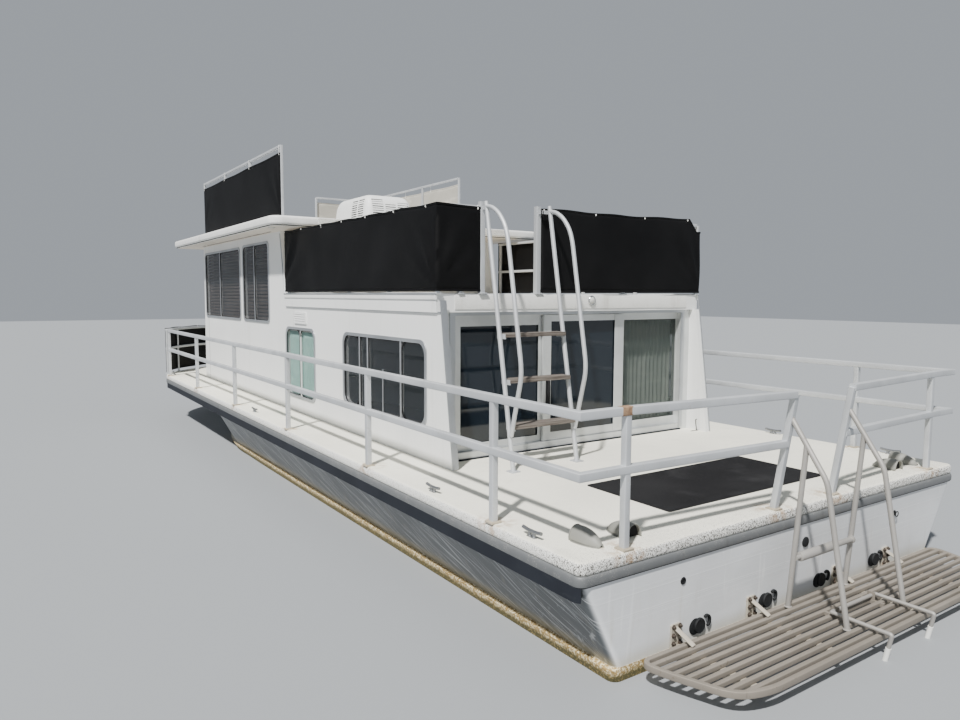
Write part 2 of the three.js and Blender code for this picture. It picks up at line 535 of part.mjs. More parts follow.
const fixedPanes = [
  { side: "port", edge: [-doorIn - 5, leftStile], pane: [-doorIn + 2, leftStile - LEAF.fixedStile] },
  { side: "starboard", edge: [rightStile, doorIn + 5], pane: [rightStile + LEAF.fixedStile, doorIn - 2] },
].map(({ side, edge, pane }) => ({
  side,
  edge: [...edge, DOOR.low - 5, DOOR.top + 5],
  pane: [...pane, DOOR.low + 2, DOOR.top - 2],
}));
const fixedRings = fixedPanes.map(({ edge, pane }) =>
  plateY(paneRing(edge, pane), fixedPlane, fixedPlane + LEAF.thick));
add("stern_door_frame", union([plateY(frameShape, DOOR.plane, DOOR.plane + DOOR.depth), ...fixedRings]), "aluminium");
fixedPanes.forEach(({ side, pane }) => add(`glass_fixed_${side}`, paneBlock(pane, fixedPlane), "glass"));
const leafPlane = DOOR.plane + 18;
const leafPane = [leftStile, rightStile, DOOR.low + 6 + LEAF.foot, DOOR.top - 6 - LEAF.head];
const runners = [LEAF.x0 + 90, LEAF.x1 - 90].map((x) =>
  block(x - 40, x + 40, leafPlane + 4, leafPlane + LEAF.thick - 4, DOOR.low + 2 * GAP, DOOR.low + 20));
const pullPath = [[PULL.low, 0], [PULL.low, PULL.reach], [PULL.high, PULL.reach], [PULL.high, 0]]
  .map(([z, reach]) => [PULL.x, leafPlane + 5 - reach, z]);
add("door_leaf", union([plateY(paneRing([LEAF.x0, LEAF.x1, DOOR.low + 6, DOOR.top - 6], leafPane),
  leafPlane, leafPlane + LEAF.thick), ...runners, ...tubeRun(pullPath, PULL.r, 8)]), "aluminium");
add("glass_leaf", paneBlock(leafPane, leafPlane), "glass");

// Deck rails
const railZ = { top: RAIL.top - RAIL.tube / 2, mid: RAIL.mid - RAIL.tube / 2 };
const footPlate = ([x, y, z]) => block(x - RAIL.foot / 2, x + RAIL.foot / 2, y - RAIL.foot / 2, y + RAIL.foot / 2,
  z + GAP, z + RAIL.footThick);
const post = (foot, head) => [bar([foot[0], foot[1], foot[2] + 6], head, RAIL.post), footPlate(foot)];
function gateAt(z) {
  const t = (z - DECK_TOP) / (RAIL.top - DECK_TOP);
  return GATE.footY + (GATE.topY - GATE.footY) * t;
}
for (const [side, s] of [["port", -1], ["starboard", 1]]) {
  const x = s * RAIL.x;
  const run = (z) => [[s * GATE.x, gateAt(z), z], [s * STERN_POST_X, 46, z], [x, 46, z], [x, SIDE_POSTS.at(-1), z]];
  const posts = SIDE_POSTS.flatMap((y) => post([x, y, DECK_TOP], [x, y, railZ.top]));
  posts.push(...post([s * STERN_POST_X, 46, DECK_TOP], [s * STERN_POST_X, 46, railZ.top]));
  posts.push(...post([s * GATE.x, GATE.footY, DECK_TOP], [s * GATE.x, gateAt(railZ.top), railZ.top]));
  const rails = [railZ.top, railZ.mid].flatMap((z) => barRun(run(z), RAIL.tube));
  add(`deck_rail_${side}`, union([...rails, ...posts]), "aluminium");
}
// A path moved sideways, to the left of its run when the distance is positive
function offset(path, distance) {
  return path.map(([x, y], i) => {
    const before = path[Math.max(0, i - 1)];
    const after = path[Math.min(path.length - 1, i + 1)];
    const a = new THREE.Vector2(x - before[0], y - before[1]);
    const b = new THREE.Vector2(after[0] - x, after[1] - y);
    const u = (a.lengthSq() ? a : b).clone().normalize();
    const v = (b.lengthSq() ? b : a).clone().normalize();
    const n = new THREE.Vector2(-u.y - v.y, u.x + v.x).normalize();
    const reach = distance / Math.max(0.5, n.dot(new THREE.Vector2(-u.y, u.x)));
    return [x + n.x * reach, y + n.y * reach];
  });
}
const bowEdge = [[HALF_BEAM, BOW_START + 140], ...BOW_EDGE.slice(1).map(({ x, y }) => [x, y])];
const bowPath = offset([...bowEdge.map(([x, y]) => [-x, y]), ...bowEdge.slice(0, -1).reverse()], -BOW_RAIL_INSET);
const bowPosts = [...new Set([...BOW_POSTS, ...BOW_POSTS.map((i) => bowPath.length - 1 - i)])];
add("bow_rail", union([
  ...barRun(bowPath.map(([a, b]) => [a, b, railZ.top]), BOW_TUBE),
  ...barRun(bowPath.map(([a, b]) => [a, b, railZ.mid]), BOW_TUBE),
  ...bowPosts.flatMap((i) => [bar([...bowPath[i], DECK_TOP + 6], [...bowPath[i], railZ.top], BOW_POST),
    footPlate([...bowPath[i], DECK_TOP])]),
]), "aluminium");

// Canvas: a ribbon of cloth along a path, upright
function ribbon(path, z0, z1, thick = CLOTH) {
  return plateZ(outline([...offset(path, thick / 2), ...offset(path, -thick / 2).reverse()]), z0, z1);
}
const bandTurn = BAND.x - CORNER;
for (const [side, s] of [["port", -1], ["starboard", 1]]) {
  const path = [...QUARTER.map((a) => [s * (bandTurn + CORNER * Math.sin(a)), BAND.turn - CORNER * Math.cos(a)]),
    [s * BAND.x, BAND.fwd]];
  add(`rub_band_${side}`, ribbon(path, BAND.low, BAND.top, BAND.thick), "rubber");
}
const clothOff = (tube) => tube / 2 + CLOTH / 2 + 2 * GAP;
add("canvas_bow", ribbon(offset(bowPath, clothOff(BOW_TUBE)), DECK_TOP + 45, RAIL.top + 12), "canvas");
const clothX = ROOF_RAIL.x + clothOff(ROOF_RAIL.tube);
const clothAft = ROOF_RAIL.aft - clothOff(ROOF_RAIL.tube);
const gateEdge = ROOF_RAIL.gatePost / 2 + GAP;
add("canvas_roof_port", ribbon([[-clothX, 6050], [-clothX, clothAft], [ROOF_GATE[0] - gateEdge, clothAft]],
  ROOF_TOP + 20, ROOF_RAIL.top + 14), "canvas");
add("canvas_roof_starboard", ribbon([[clothX, 6050], [clothX, clothAft], [ROOF_GATE[1] + gateEdge, clothAft]],
  ROOF_TOP + 20, ROOF_RAIL.top + 14), "canvas");

// Roof rails
const roofZ = ROOF_RAIL.top - ROOF_RAIL.tube / 2;
for (const [side, s, gate] of [["port", -1, ROOF_GATE[0]], ["starboard", 1, ROOF_GATE[1]]]) {
  const x = s * ROOF_RAIL.x;
  const run = (z) => [[gate, ROOF_RAIL.aft, z], [x, ROOF_RAIL.aft, z], [x, ROOF_RAIL.fwd, z]];
  const posts = [...ROOF_POSTS, ROOF_RAIL.fwd - 30].map((y) => [x, y]);
  posts.push([x, ROOF_RAIL.aft], [(x + gate) / 2, ROOF_RAIL.aft]);
  add(`roof_rail_${side}`, union([
    ...barRun(run(roofZ), ROOF_RAIL.tube),
    ...barRun(run(ROOF_TOP + 330), ROOF_RAIL.tube),
    ...posts.map(([a, b]) => bar([a, b, ROOF_TOP + GAP], [a, b, roofZ], ROOF_RAIL.tube)),
    bar([gate, ROOF_RAIL.aft, ROOF_TOP + GAP], [gate, ROOF_RAIL.aft, 2995], ROOF_RAIL.gatePost),
  ]), "aluminium");
}
const pilotZ = PILOT_RAIL.top - PILOT_RAIL.tube / 2;
const upright = (a, b, z0, z1) => bar([a, b, z0], [a, b, z1], PILOT_RAIL.tube);
const portStations = [0, 1 / 3, 2 / 3, 1].map((t) =>
  PILOT_RAIL.portAft + (PILOT_RAIL.portFwd - PILOT_RAIL.portAft) * t);
add("pilot_rail_port", union([
  ...[pilotZ, pilotZ - 440].map((z) => bar([PILOT_RAIL.portX, PILOT_RAIL.portAft, z],
    [PILOT_RAIL.portX, PILOT_RAIL.portFwd, z], PILOT_RAIL.tube)),
  ...portStations.map((y) => upright(PILOT_RAIL.portX, y, PILOT_TOP + GAP, pilotZ)),
]), "aluminium");
const starStations = [0, 1 / 3, 2 / 3].map((t) => PILOT_RAIL.starAft + (PILOT_RAIL.front - PILOT_RAIL.starAft) * t);
add("pilot_rail_starboard", union([
  ...[pilotZ, pilotZ - 440].flatMap((z) => barRun([[PILOT_RAIL.starX, PILOT_RAIL.starAft, z],
    [PILOT_RAIL.starX, PILOT_RAIL.front, z], [PILOT_RAIL.frontX, PILOT_RAIL.front, z]], PILOT_RAIL.tube)),
  ...starStations.map((y) => upright(PILOT_RAIL.starX, y, PILOT_TOP + GAP, pilotZ)),
  upright(PILOT_RAIL.starX, PILOT_RAIL.front, PILOT_TOP + GAP, pilotZ),
  upright(PILOT_RAIL.frontX, PILOT_RAIL.front, PILOT_TOP + GAP, pilotZ),
]), "aluminium");
const clothOut = clothOff(PILOT_RAIL.tube);
add("canvas_pilot_port", ribbon([[PILOT_RAIL.portX - clothOut, PILOT_RAIL.portAft],
  [PILOT_RAIL.portX - clothOut, PILOT_RAIL.portFwd]], PILOT_TOP + 30, PILOT_RAIL.top - 80), "canvas");
add("canvas_pilot_starboard", ribbon([[PILOT_RAIL.starX + clothOut, PILOT_RAIL.starAft],
  [PILOT_RAIL.starX + clothOut, PILOT_RAIL.front + clothOut], [PILOT_RAIL.frontX, PILOT_RAIL.front + clothOut]],
PILOT_TOP + 30, PILOT_RAIL.top - 80), "beige");

// Roof unit: a rounded white shroud
const unitPlan = new THREE.Shape();
roundedPath(unitPlan, -AIRCON.half, AIRCON.half, -AIRCON.length / 2, AIRCON.length / 2, 90);
const unitPoints = unitPlan.getPoints(4).slice(0, -1);
const shroud = stack(UNIT_RINGS.map(([h, k]) => [unitPoints.map((p) => [p.x * k, p.y * k]), h]));
const louvreCuts = LOUVRES.flatMap(({ face, from, to, low, rows }) => Array.from({ length: rows }, (_, i) => {
  const z = low + AIRCON.pitch * i;
  const [side, aft] = [-AIRCON.half - 2, -AIRCON.length / 2 - 2];
  return face === "aft" ? block(from, to, aft, aft + AIRCON.deep, z, z + AIRCON.louvre)
    : block(side, side + AIRCON.deep, from, to, z, z + AIRCON.louvre);
}));
add("air_conditioner", cut(shroud, louvreCuts).translate(AIRCON.x, AIRCON.y, PILOT_TOP + GAP), "unit");

// Roof ladder: two stringers, three treads and two grab rails bent clear of them
const mix = (a, b, t) => a.map((v, i) => v + (b[i] - v) * t);
const onStringer = (foot, top, z) => mix(foot, top, (z - foot[2]) / (top[2] - foot[2]));
const ladderPieces = [];
for (const [foot, top] of [[LADDER.portFoot, LADDER.portTop], [LADDER.starFoot, LADDER.starTop]]) {
  const start = [foot[0], foot[1], foot[2] + 7];
  const off = (z, reach) => { const [x, y] = onStringer(foot, top, z); return [x, y - reach, z]; };
  ladderPieces.push(...tubeRun([start, top], LADDER.tube));
  ladderPieces.push(...tubeRun([off(2950, 0), off(2935, 80), off(2880, 165), off(2775, 235), off(2660, LADDER.reach),
    off(1640, LADDER.reach), off(1540, 235), off(1060, 20)], LADDER.grab));
  ladderPieces.push(block(foot[0] - 45, foot[0] + 45, foot[1] - 45, foot[1] + 45, foot[2] + GAP, foot[2] + 8));
}
const bracketZ = 2940;
const nearPost = ROOF_RAIL.aft - ROOF_RAIL.gatePost / 2 - GAP;
for (const [top, gate] of [[LADDER.portTop, ROOF_GATE[0]], [LADDER.starTop, ROOF_GATE[1]]]) {
  const [low, high] = [bracketZ - 15, bracketZ + 15];
  ladderPieces.push(block(Math.min(top[0], gate) - 8, Math.max(top[0], gate) + 8, 2288, 2312, low, high));
  ladderPieces.push(block(gate - 8, gate + 8, 2288, nearPost, low, high));
}
for (const z of TREADS) {
  const a = onStringer(LADDER.portFoot, LADDER.portTop, z);
  const b = onStringer(LADDER.starFoot, LADDER.starTop, z);
  ladderPieces.push(block(a[0] - 4, b[0] + 4, a[1] - 62, a[1] + 62, z - 32, z));
}
add("roof_ladder", union(ladderPieces), "aluminium");

// Boarding stair: bent handrails and stringers either side of the gate, and one round step
const stairPieces = [];
for (const s of [-1, 1]) {
  const x = s * STAIR.x;
  const [onFrame, onSlats] = [PLATFORM.top + GAP, PLATFORM.top - 3 + GAP];
  stairPieces.push(...tubeRun([[x, -58, 1405], [x, -312, 1057], [x, -488, onSlats + 5]], STAIR.tube));
  stairPieces.push(...tubeRun([[x, -168, 1240], [x, -84, onFrame + 5]], STAIR.tube));
  stairPieces.push(block(x - 35, x + 35, -532, -445, onSlats, onSlats + 8));
  stairPieces.push(block(x - 35, x + 35, -125, -48, onFrame, onFrame + 8));
}
stairPieces.push(...tubeRun([[-STAIR.x - 45, -125, 490], [STAIR.x + 45, -125, 490]], 27, 12));
const gatePosts = [-1, 1].map((s) => bar([s * GATE.x, GATE.footY, DECK_TOP],
  [s * GATE.x, gateAt(railZ.top), railZ.top], RAIL.post + 2 * GAP));
add("boarding_stair", cut(union(stairPieces), gatePosts), "aluminium");

// Swim platform: a bent frame with slats across, on bolted brackets
const platformShape = (grow) => {
  const { half, aft, fwd, corner } = PLATFORM;
  return outline([
    [-half - grow, fwd + grow], [-half - grow + 40, fwd - corner * 0.55], [-half + corner * 0.55, aft + 70 - grow],
    [-half + corner * 1.15, aft - grow], [half - corner * 1.15, aft - grow], [half - corner * 0.55, aft + 70 - grow],
    [half + grow - 40, fwd - corner * 0.55], [half + grow, fwd + grow],
  ]);
};
const ringShape = platformShape(0);
ringShape.holes.push(platformShape(-PLATFORM.frame));
const pitch = (PLATFORM.fwd - PLATFORM.aft - PLATFORM.frame) / (PLATFORM.slats + 1);
const slatClip = plateZ(platformShape(-PLATFORM.frame / 2), PLATFORM.top - 60, PLATFORM.top);
const slats = Array.from({ length: PLATFORM.slats }, (_, i) => {
  const y = PLATFORM.aft + PLATFORM.frame / 2 + pitch * (i + 1);
  return block(-PLATFORM.half, PLATFORM.half, y - PLATFORM.slat / 2, y + PLATFORM.slat / 2, PLATFORM.top - 28,
    PLATFORM.top - 3);
});
const platformPieces = [plateZ(ringShape, PLATFORM.top - 40, PLATFORM.top),
  ...slats.map((slat) => common(slat, slatClip))];
for (const x of PLATFORM.brackets) {
  platformPieces.push(block(x - 25, x + 25, PLATFORM.aft + 60, PLATFORM.fwd, PLATFORM.top - 78, PLATFORM.top - 24));
  platformPieces.push(block(x - 25, x + 25, PLATFORM.fwd - 60, 14, PLATFORM.top - 78, PLATFORM.top - 30));
  platformPieces.push(block(x - 50, x + 50, 8, 60, PLATFORM.top - 90, PLATFORM.top + 90));
}
const [hingeY, hingeZ] = SWIM.hinge;
const lugs = SWIM.x.map((x) => x + (x < 0 ? 45 : -45)).map((x) =>
  block(x - 5, x + 5, hingeY - 26, hingeY + 26, PLATFORM.top - 26, hingeZ + 26));
const lugHole = rod([SWIM.x[0], hingeY, hingeZ], [SWIM.x[1], hingeY, hingeZ], SWIM.tube + 1, 12);
const lugBars = SWIM.x.map((x) => x + (x < 0 ? 45 : -45)).map((x) =>
  block(x - 12, x + 12, hingeY - 90, hingeY + 90, PLATFORM.top - 26, PLATFORM.top - 4));
add("swim_platform", cut(union([...platformPieces, ...lugs, ...lugBars]),
  [lugHole, hullLoft().translate(0, -GAP, 0)]), "platform");

// Swim ladder: two arms that lie on the platform, legs down over its edge and rungs between the legs
const swimPieces = [];
for (const x of SWIM.x) {
  swimPieces.push(...tubeRun([[x, hingeY, hingeZ], [x, SWIM.knee, hingeZ], [x, SWIM.knee + 24, SWIM.low]], SWIM.tube));
}
for (const z of [-20, SWIM.low]) {
  const y = SWIM.knee + (24 * (hingeZ - z)) / (hingeZ - SWIM.low);
  swimPieces.push(rod([SWIM.x[0], y, z], [SWIM.x[1], y, z], SWIM.tube));
}
swimPieces.push(rod([SWIM.x[0], hingeY, hingeZ], [SWIM.x[1], hingeY, hingeZ], SWIM.tube));
add("swim_ladder", union(swimPieces), "aluminium");

// Deck mat
add("deck_mat", block(-1000, 810, 380, 1190, DECK_TOP + GAP, DECK_TOP + 9), "mat");

// Running gear on each side: strut, propeller with its shaft, and rudder
const BLADES = 4;
function blade(hand) {
  const rings = BLADE.map(({ r, chord, thick, pitch }) => {
    const angle = THREE.MathUtils.degToRad(pitch * hand);
    return [...Array(8).keys()].map((i) => {
      const [c, t] = [(chord / 2) * Math.cos((Math.PI * i) / 4), (-thick / 2) * Math.sin((Math.PI * i) / 4)];
      return [t * Math.cos(angle) + c * Math.sin(angle), r, c * Math.cos(angle) - t * Math.sin(angle)];
    });
  });
  return loft(rings).rotateZ(-Math.PI / 2);
}
for (const [side, s] of [["port", -1], ["starboard", 1]]) {
  const x = s * GEAR.x;
  const { propY, propZ, strutY, shaftR } = GEAR;
  const onShaft = (y) => [x, y, shaftZ(y)];
  const strutBody = union([rod(onShaft(strutY - 65), onShaft(strutY + 65), 38, 16),
    block(x - 9, x + 9, strutY - 45, strutY + 45, shaftZ(strutY) + 10, -150)]);
  add(`strut_${side}`, cut(strutBody, [rod(onShaft(strutY - 200), onShaft(strutY + 200), shaftR + GEAR.play, 16),
    hullLoft(GAP)]), "bronze");
  const blades = Array.from({ length: BLADES }, (_, i) => blade(s).rotateY((i * 2 * Math.PI) / BLADES));
  const hub = new THREE.CylinderGeometry(34, 44, 110, 16);
  const prop = union([hub, ...blades]).rotateX(Math.atan(GEAR.slope)).translate(x, propY, propZ);
  add(`propeller_${side}`, union([prop, rod(onShaft(propY), onShaft(GEAR.shaftEnd), shaftR, 16)]), "bronze");
  const y = GEAR.rudderY;
  add(`rudder_${side}`, union([
    lean(block(x - 9, x + 9, y - 190, y + 110, -640, -330), -640, -330, 30),
    rod([x, y, -420], [x, y, GEAR.stockTop], GEAR.stockR, 12),
  ]), "bronze");
}

export default group;
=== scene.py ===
"""Cabin houseboat with a raised pilothouse: finishes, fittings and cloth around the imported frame."""

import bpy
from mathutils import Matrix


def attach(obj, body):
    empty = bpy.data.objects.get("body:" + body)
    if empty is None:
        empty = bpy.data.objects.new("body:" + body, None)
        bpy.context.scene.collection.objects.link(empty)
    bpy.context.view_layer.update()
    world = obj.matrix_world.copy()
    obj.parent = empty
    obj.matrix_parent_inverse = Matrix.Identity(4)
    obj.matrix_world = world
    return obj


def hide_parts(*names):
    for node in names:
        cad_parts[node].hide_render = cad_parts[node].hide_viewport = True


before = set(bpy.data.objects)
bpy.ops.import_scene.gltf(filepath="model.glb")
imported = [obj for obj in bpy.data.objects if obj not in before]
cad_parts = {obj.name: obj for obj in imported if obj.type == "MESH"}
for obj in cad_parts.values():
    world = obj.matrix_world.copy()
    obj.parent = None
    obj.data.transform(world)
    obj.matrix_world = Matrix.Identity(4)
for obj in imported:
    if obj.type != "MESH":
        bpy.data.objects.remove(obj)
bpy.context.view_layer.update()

import functools
import logging
from dataclasses import dataclass
from enum import Enum
from math import atan2, cos, exp, hypot, pi, radians, sin, tau
from typing import Iterable, Mapping, Sequence, Union

import bmesh
import bpy
from mathutils import Matrix, Vector
from mathutils.geometry import tessellate_polygon

LOG = logging.getLogger("houseboat")
AMIDSHIPS = 6300.0
SIDES = (("port", -1), ("starboard", 1))
BOAT = "boat"
UP = Vector((0, 0, 1))
STARBOARD = Vector((1, 0, 0))
FORWARD = Vector((0, 1, 0))
Colour = tuple[float, float, float]
Outline = list[tuple[float, float]]
Pairs = tuple[tuple[float, float], ...]


def spot(x: float, y: float, z: float) -> Vector:
    """A point given in millimetres, with y counted forward from the transom, in the frame's metres."""
    return Vector((x, y - AMIDSHIPS, z)) / 1000.0


def scaled(colour: Colour, factor: float, lift: float = 0.0) -> Colour:
    """A colour multiplied by a factor and lifted by an amount."""
    return tuple(c * factor + lift for c in colour)


# Shader maths


class Wire:
    """One value, colour or vector on its way through a material."""

    def __init__(self, bench: "Bench", socket: bpy.types.NodeSocket) -> None:
        """Keeps the bench that owns the nodes and the socket that the wire leaves from."""
        self.bench = bench
        self.socket = socket

    def _maths(self, operation: str, other: "Value", swapped: bool = False) -> "Wire":
        """Adds a Math node.

        Args:
            operation: the node's operation.
            other: the second value.
            swapped: whether the other value comes first.
        Returns:
            The result.
        """
        first, second = (other, self) if swapped else (self, other)
        return self.bench.node("ShaderNodeMath", {"operation": operation}, {0: first, 1: second})

    def __add__(self, other: "Value") -> "Wire":
        """Sum."""
        return self._maths("ADD", other)

    def __radd__(self, other: "Value") -> "Wire":
        """Sum with the number first."""
        return self._maths("ADD", other, True)

    def __sub__(self, other: "Value") -> "Wire":
        """Difference."""
        return self._maths("SUBTRACT", other)

    def __rsub__(self, other: "Value") -> "Wire":
        """Difference with the number first."""
        return self._maths("SUBTRACT", other, True)

    def __mul__(self, other: "Value") -> "Wire":
        """Product."""
        return self._maths("MULTIPLY", other)

    def __abs__(self) -> "Wire":
        """Size without sign."""
        return self._maths("ABSOLUTE", 0.0)

    def either(self, other: "Value") -> "Wire":
        """The larger of the two."""
        return self._maths("MAXIMUM", other)

    def both(self, other: "Value") -> "Wire":
        """The smaller of the two."""
        return self._maths("MINIMUM", other)

    def sine(self) -> "Wire":
        """Sine of the value."""
        return self._maths("SINE", 0.0)

    def rising(self, low: float, high: float) -> "Wire":
        """A smooth step.

        Args:
            low: where the step is 0.
            high: where it is 1; a high below low turns the step round.
        Returns:
            The step, from 0 to 1.
        """
        if high < low:
            return 1.0 - self.rising(high, low)
        return self.bench.node(
            "ShaderNodeMapRange", {"interpolation_type": "SMOOTHSTEP"}, {0: self, 1: low, 2: high, 3: 0.0, 4: 1.0})


Value = Union[Wire, float, int]
Paint = Union[Wire, Colour]


class Bench:
    """Builds the nodes of one material."""

    def __init__(self, name: str) -> None:
        """Starts an empty material with its output."""
        self.material = bpy.data.materials.new(name)
        self.material.use_nodes = True
        self.tree = self.material.node_tree
        self.tree.nodes.clear()
        self.output = self.tree.nodes.new("ShaderNodeOutputMaterial")

    def node(self, kind: str, settings: Mapping[str, object] | None = None,
             sockets: Mapping[Union[int, str], object] | None = None, out: Union[int, str] = 0) -> Wire:
        """Adds one node.

        Args:
            kind: the node's type.
            settings: its settings, set before the sockets.
            sockets: the value or wire of each input.
            out: which output is wanted.
        Returns:
            The wanted output.
        """
        made = self.tree.nodes.new(kind)
        for key, value in (settings or {}).items():
            setattr(made, key, value)
        for key, value in (sockets or {}).items():
            self._feed(made.inputs[key], value)
        return Wire(self, made.outputs[out])

    def _feed(self, socket: bpy.types.NodeSocket, value: object) -> None:
        """Links a wire to a socket, or sets the socket's own value."""
        if isinstance(value, Wire):
            self.tree.links.new(value.socket, socket)
        elif isinstance(value, tuple) and socket.type == "RGBA":
            socket.default_value = (*value, 1.0)
        else:
            socket.default_value = value

    def place(self, stretch: tuple[float, float, float] = (1.0, 1.0, 1.0)) -> Wire:
        """The point on the object in the frame's metres, each axis multiplied."""
        where = self.node("ShaderNodeTexCoord", out="Object")
        if stretch == (1.0, 1.0, 1.0):
            return where
        return self.node("ShaderNodeVectorMath", {"operation": "MULTIPLY"}, {0: where, 1: stretch})

    def axis(self, name: str) -> Wire:
        """One coordinate of the point, by its letter."""
        return self.node("ShaderNodeSeparateXYZ", None, {0: self.place()}, out=name)

    def facing(self, name: str) -> Wire:
        """One part of the surface's direction, by its letter."""
        normal = self.node("ShaderNodeNewGeometry", out="Normal")
        return self.node("ShaderNodeSeparateXYZ", None, {0: normal}, out=name)

    def noise(self, scale: float, detail: float = 3.0, stretch: tuple[float, float, float] = (1.0, 1.0, 1.0),
              rough: float = 0.55) -> Wire:
        """Soft noise from 0 to 1.

        Args:
            scale: waves in a metre.
            detail: how many finer layers.
            stretch: multiplies each axis first.
            rough: weight of the finer layers.
        Returns:
            The noise.
        """
        return self.node("ShaderNodeTexNoise", None, {
            "Vector": self.place(stretch), "Scale": scale, "Detail": detail, "Roughness": rough})

    def cells(self, scale: float, stretch: tuple[float, float, float] = (1.0, 1.0, 1.0)) -> Wire:
        """Distance to the nearest of many scattered points."""
        return self.node("ShaderNodeTexVoronoi", None, {"Vector": self.place(stretch), "Scale": scale})

    def mix(self, factor: Value, first: Paint, second: Paint) -> Wire:
        """A mix of two colours, the second where the factor is 1."""
        return self.node("ShaderNodeMix", {"data_type": "RGBA"}, {0: factor, 6: first, 7: second}, out=2)

    def bump(self, height: Value, depth: float, strength: float = 1.0) -> Wire:
        """A normal from a height, depth in metres."""
        return self.node("ShaderNodeBump", None, {"Height": height, "Distance": depth, "Strength": strength})

    def finish(self, **sockets: object) -> bpy.types.Material:
        """Ends the material with a Principled shader; underscores in the names stand for spaces."""
        named = {key.replace("_", " "): value for key, value in sockets.items()}
        shader = self.node("ShaderNodeBsdfPrincipled", None, named)
        self.tree.links.new(shader.socket, self.output.inputs["Surface"])
        return self.material


# Finishes


@dataclass(frozen=True)
class Gelcoat:
    """Weathered gelcoat or paint with rain streaks."""

    name: str
    tint: Colour = (0.80, 0.81, 0.80)
    grime: Colour = (0.42, 0.41, 0.37)
    dirt: float = 0.35
    gloss: float = 0.34
    speckled: bool = False

    def build(self) -> bpy.types.Material:
        """Makes the material."""
        b = Bench(self.name)
        broad = b.noise(0.7, 4.0)
        streak = b.noise(1.0, 4.0, (9.0, 9.0, 0.8)).rising(0.55, 0.78) * broad.rising(0.35, 0.7)
        shade = b.mix(broad.rising(0.3, 0.75), self.tint, scaled(self.tint, 0.93))
        shade = b.mix(streak * self.dirt, shade, self.grime)
        fleck = b.cells(380.0)
        if self.speckled:
            coarse = b.noise(170.0, 2.0, rough=0.7).rising(0.56, 0.64) * b.noise(12.0).rising(0.42, 0.6)
            shade = b.mix(coarse * 0.6, shade, (0.34, 0.33, 0.30))
        rough = self.gloss + broad * 0.12 + streak * 0.2
        return b.finish(Base_Color=shade, Roughness=rough, Normal=b.bump(fleck * 0.4 + broad, 0.0006, 0.35))


@dataclass(frozen=True)
class Topsides:
    """The hull's gelcoat: chalky and streaked above, with painted shade on its sides and thin lines of painted water
    reflection, a band of growth at the waterline, dark below.
    """

    name: str
    tint: Colour = (0.72, 0.74, 0.76)
    # Colour of the painted shade on the hull's sideways faces.
    flank_shade: Colour = (0.075, 0.085, 0.092)
    growth: Colour = (0.30, 0.20, 0.07)
    grains: Colour = (0.78, 0.69, 0.46)
    bottom: Colour = (0.035, 0.045, 0.028)
    ledge: float = 0.090

    def build(self) -> bpy.types.Material:
        """Makes the material."""
        b = Bench(self.name)
        z = b.axis("Z")
        broad = b.noise(1.1, 5.0)
        wave = b.noise(3.0, 4.0, (1.0, 1.0, 0.15))
        # Painted reflection: thin slanting lines of water reflection, lighter than the gelcoat; they also give a slight
        # relief.
        reflection_lines = self._reflection_lines(b, 0.42).either(self._reflection_lines(b, 0.85))
        patch = broad.rising(0.3, 0.75).either(b.noise(0.55, 4.0, (1.0, 1.0, 2.0)).rising(0.5, 0.62) * 0.8)
        # Painted shade: faces turned sideways are darkened, as if in the shadow of the deck's edge.
        flank_shade = abs(b.facing("X")).rising(0.45, 0.85)
        tint = b.mix(flank_shade, self.tint, self.flank_shade)
        side = b.mix(patch, tint, b.mix(flank_shade, scaled(self.tint, 0.84), scaled(self.flank_shade, 0.8)))
        # The painted reflection lines lighten the sides, more strongly where the painted shade is.
        side = b.mix(reflection_lines * (0.22 + flank_shade * 0.2), side, (0.88, 0.90, 0.91))
        runs = b.noise(1.0, 4.0, (15.0, 15.0, 0.9)).rising(0.56, 0.76)
        side = b.mix(runs * 0.3 * z.rising(0.65, 0.2), side, (0.42, 0.38, 0.28))
        chalk = b.noise(1.0, 5.0, (20.0, 20.0, 1.2)).rising(0.60, 0.70) * b.axis("Y").rising(-5.2, -6.2)
        side = b.mix(chalk * 0.3, side, (0.90, 0.91, 0.91))
        foot = (z + (wave - 0.5) * 0.05).rising(0.20, 0.08)
        side = b.mix(foot * 0.5, side, (0.46, 0.40, 0.25))
        crust = b.noise(60.0, 3.0, rough=0.75)
        band = b.mix(crust.rising(0.47, 0.60), self.growth, self.grains)
        band = b.mix((z + (wave - 0.5) * 0.03).rising(0.068, 0.030), band,
                     b.mix(crust.rising(0.5, 0.65), (0.07, 0.06, 0.02), (0.26, 0.19, 0.07)))
        low = z.rising(self.ledge + 0.003, self.ledge - 0.003)
        under = (z + (wave - 0.5) * 0.04).rising(-0.02, -0.07)
        colour = b.mix(low, side, band)
        colour = b.mix(under, colour, b.mix(broad, self.bottom, (0.09, 0.09, 0.05)))
        rough = 0.33 + broad * 0.12 + low * 0.4
        height = crust * low * 2.0 + b.noise(24.0, 2.0) * 0.25 + reflection_lines * 0.15
        return b.finish(Base_Color=colour, Roughness=rough, Normal=b.bump(height, 0.003, 0.6))

    @staticmethod
    def _reflection_lines(b: Bench, slope: float) -> Wire:
        """Thin slanting lines of painted water reflection, rising by a slope for each metre forward."""
        across = b.axis("Z") - b.axis("Y") * slope
        where = b.node("ShaderNodeCombineXYZ", None, {"X": across * 70.0, "Y": b.axis("Y") * 1.6, "Z": slope * 9.0})
        lines = b.node("ShaderNodeTexNoise", None, {"Vector": where, "Scale": 1.0, "Detail": 3.0})
        return lines.rising(0.58, 0.69)


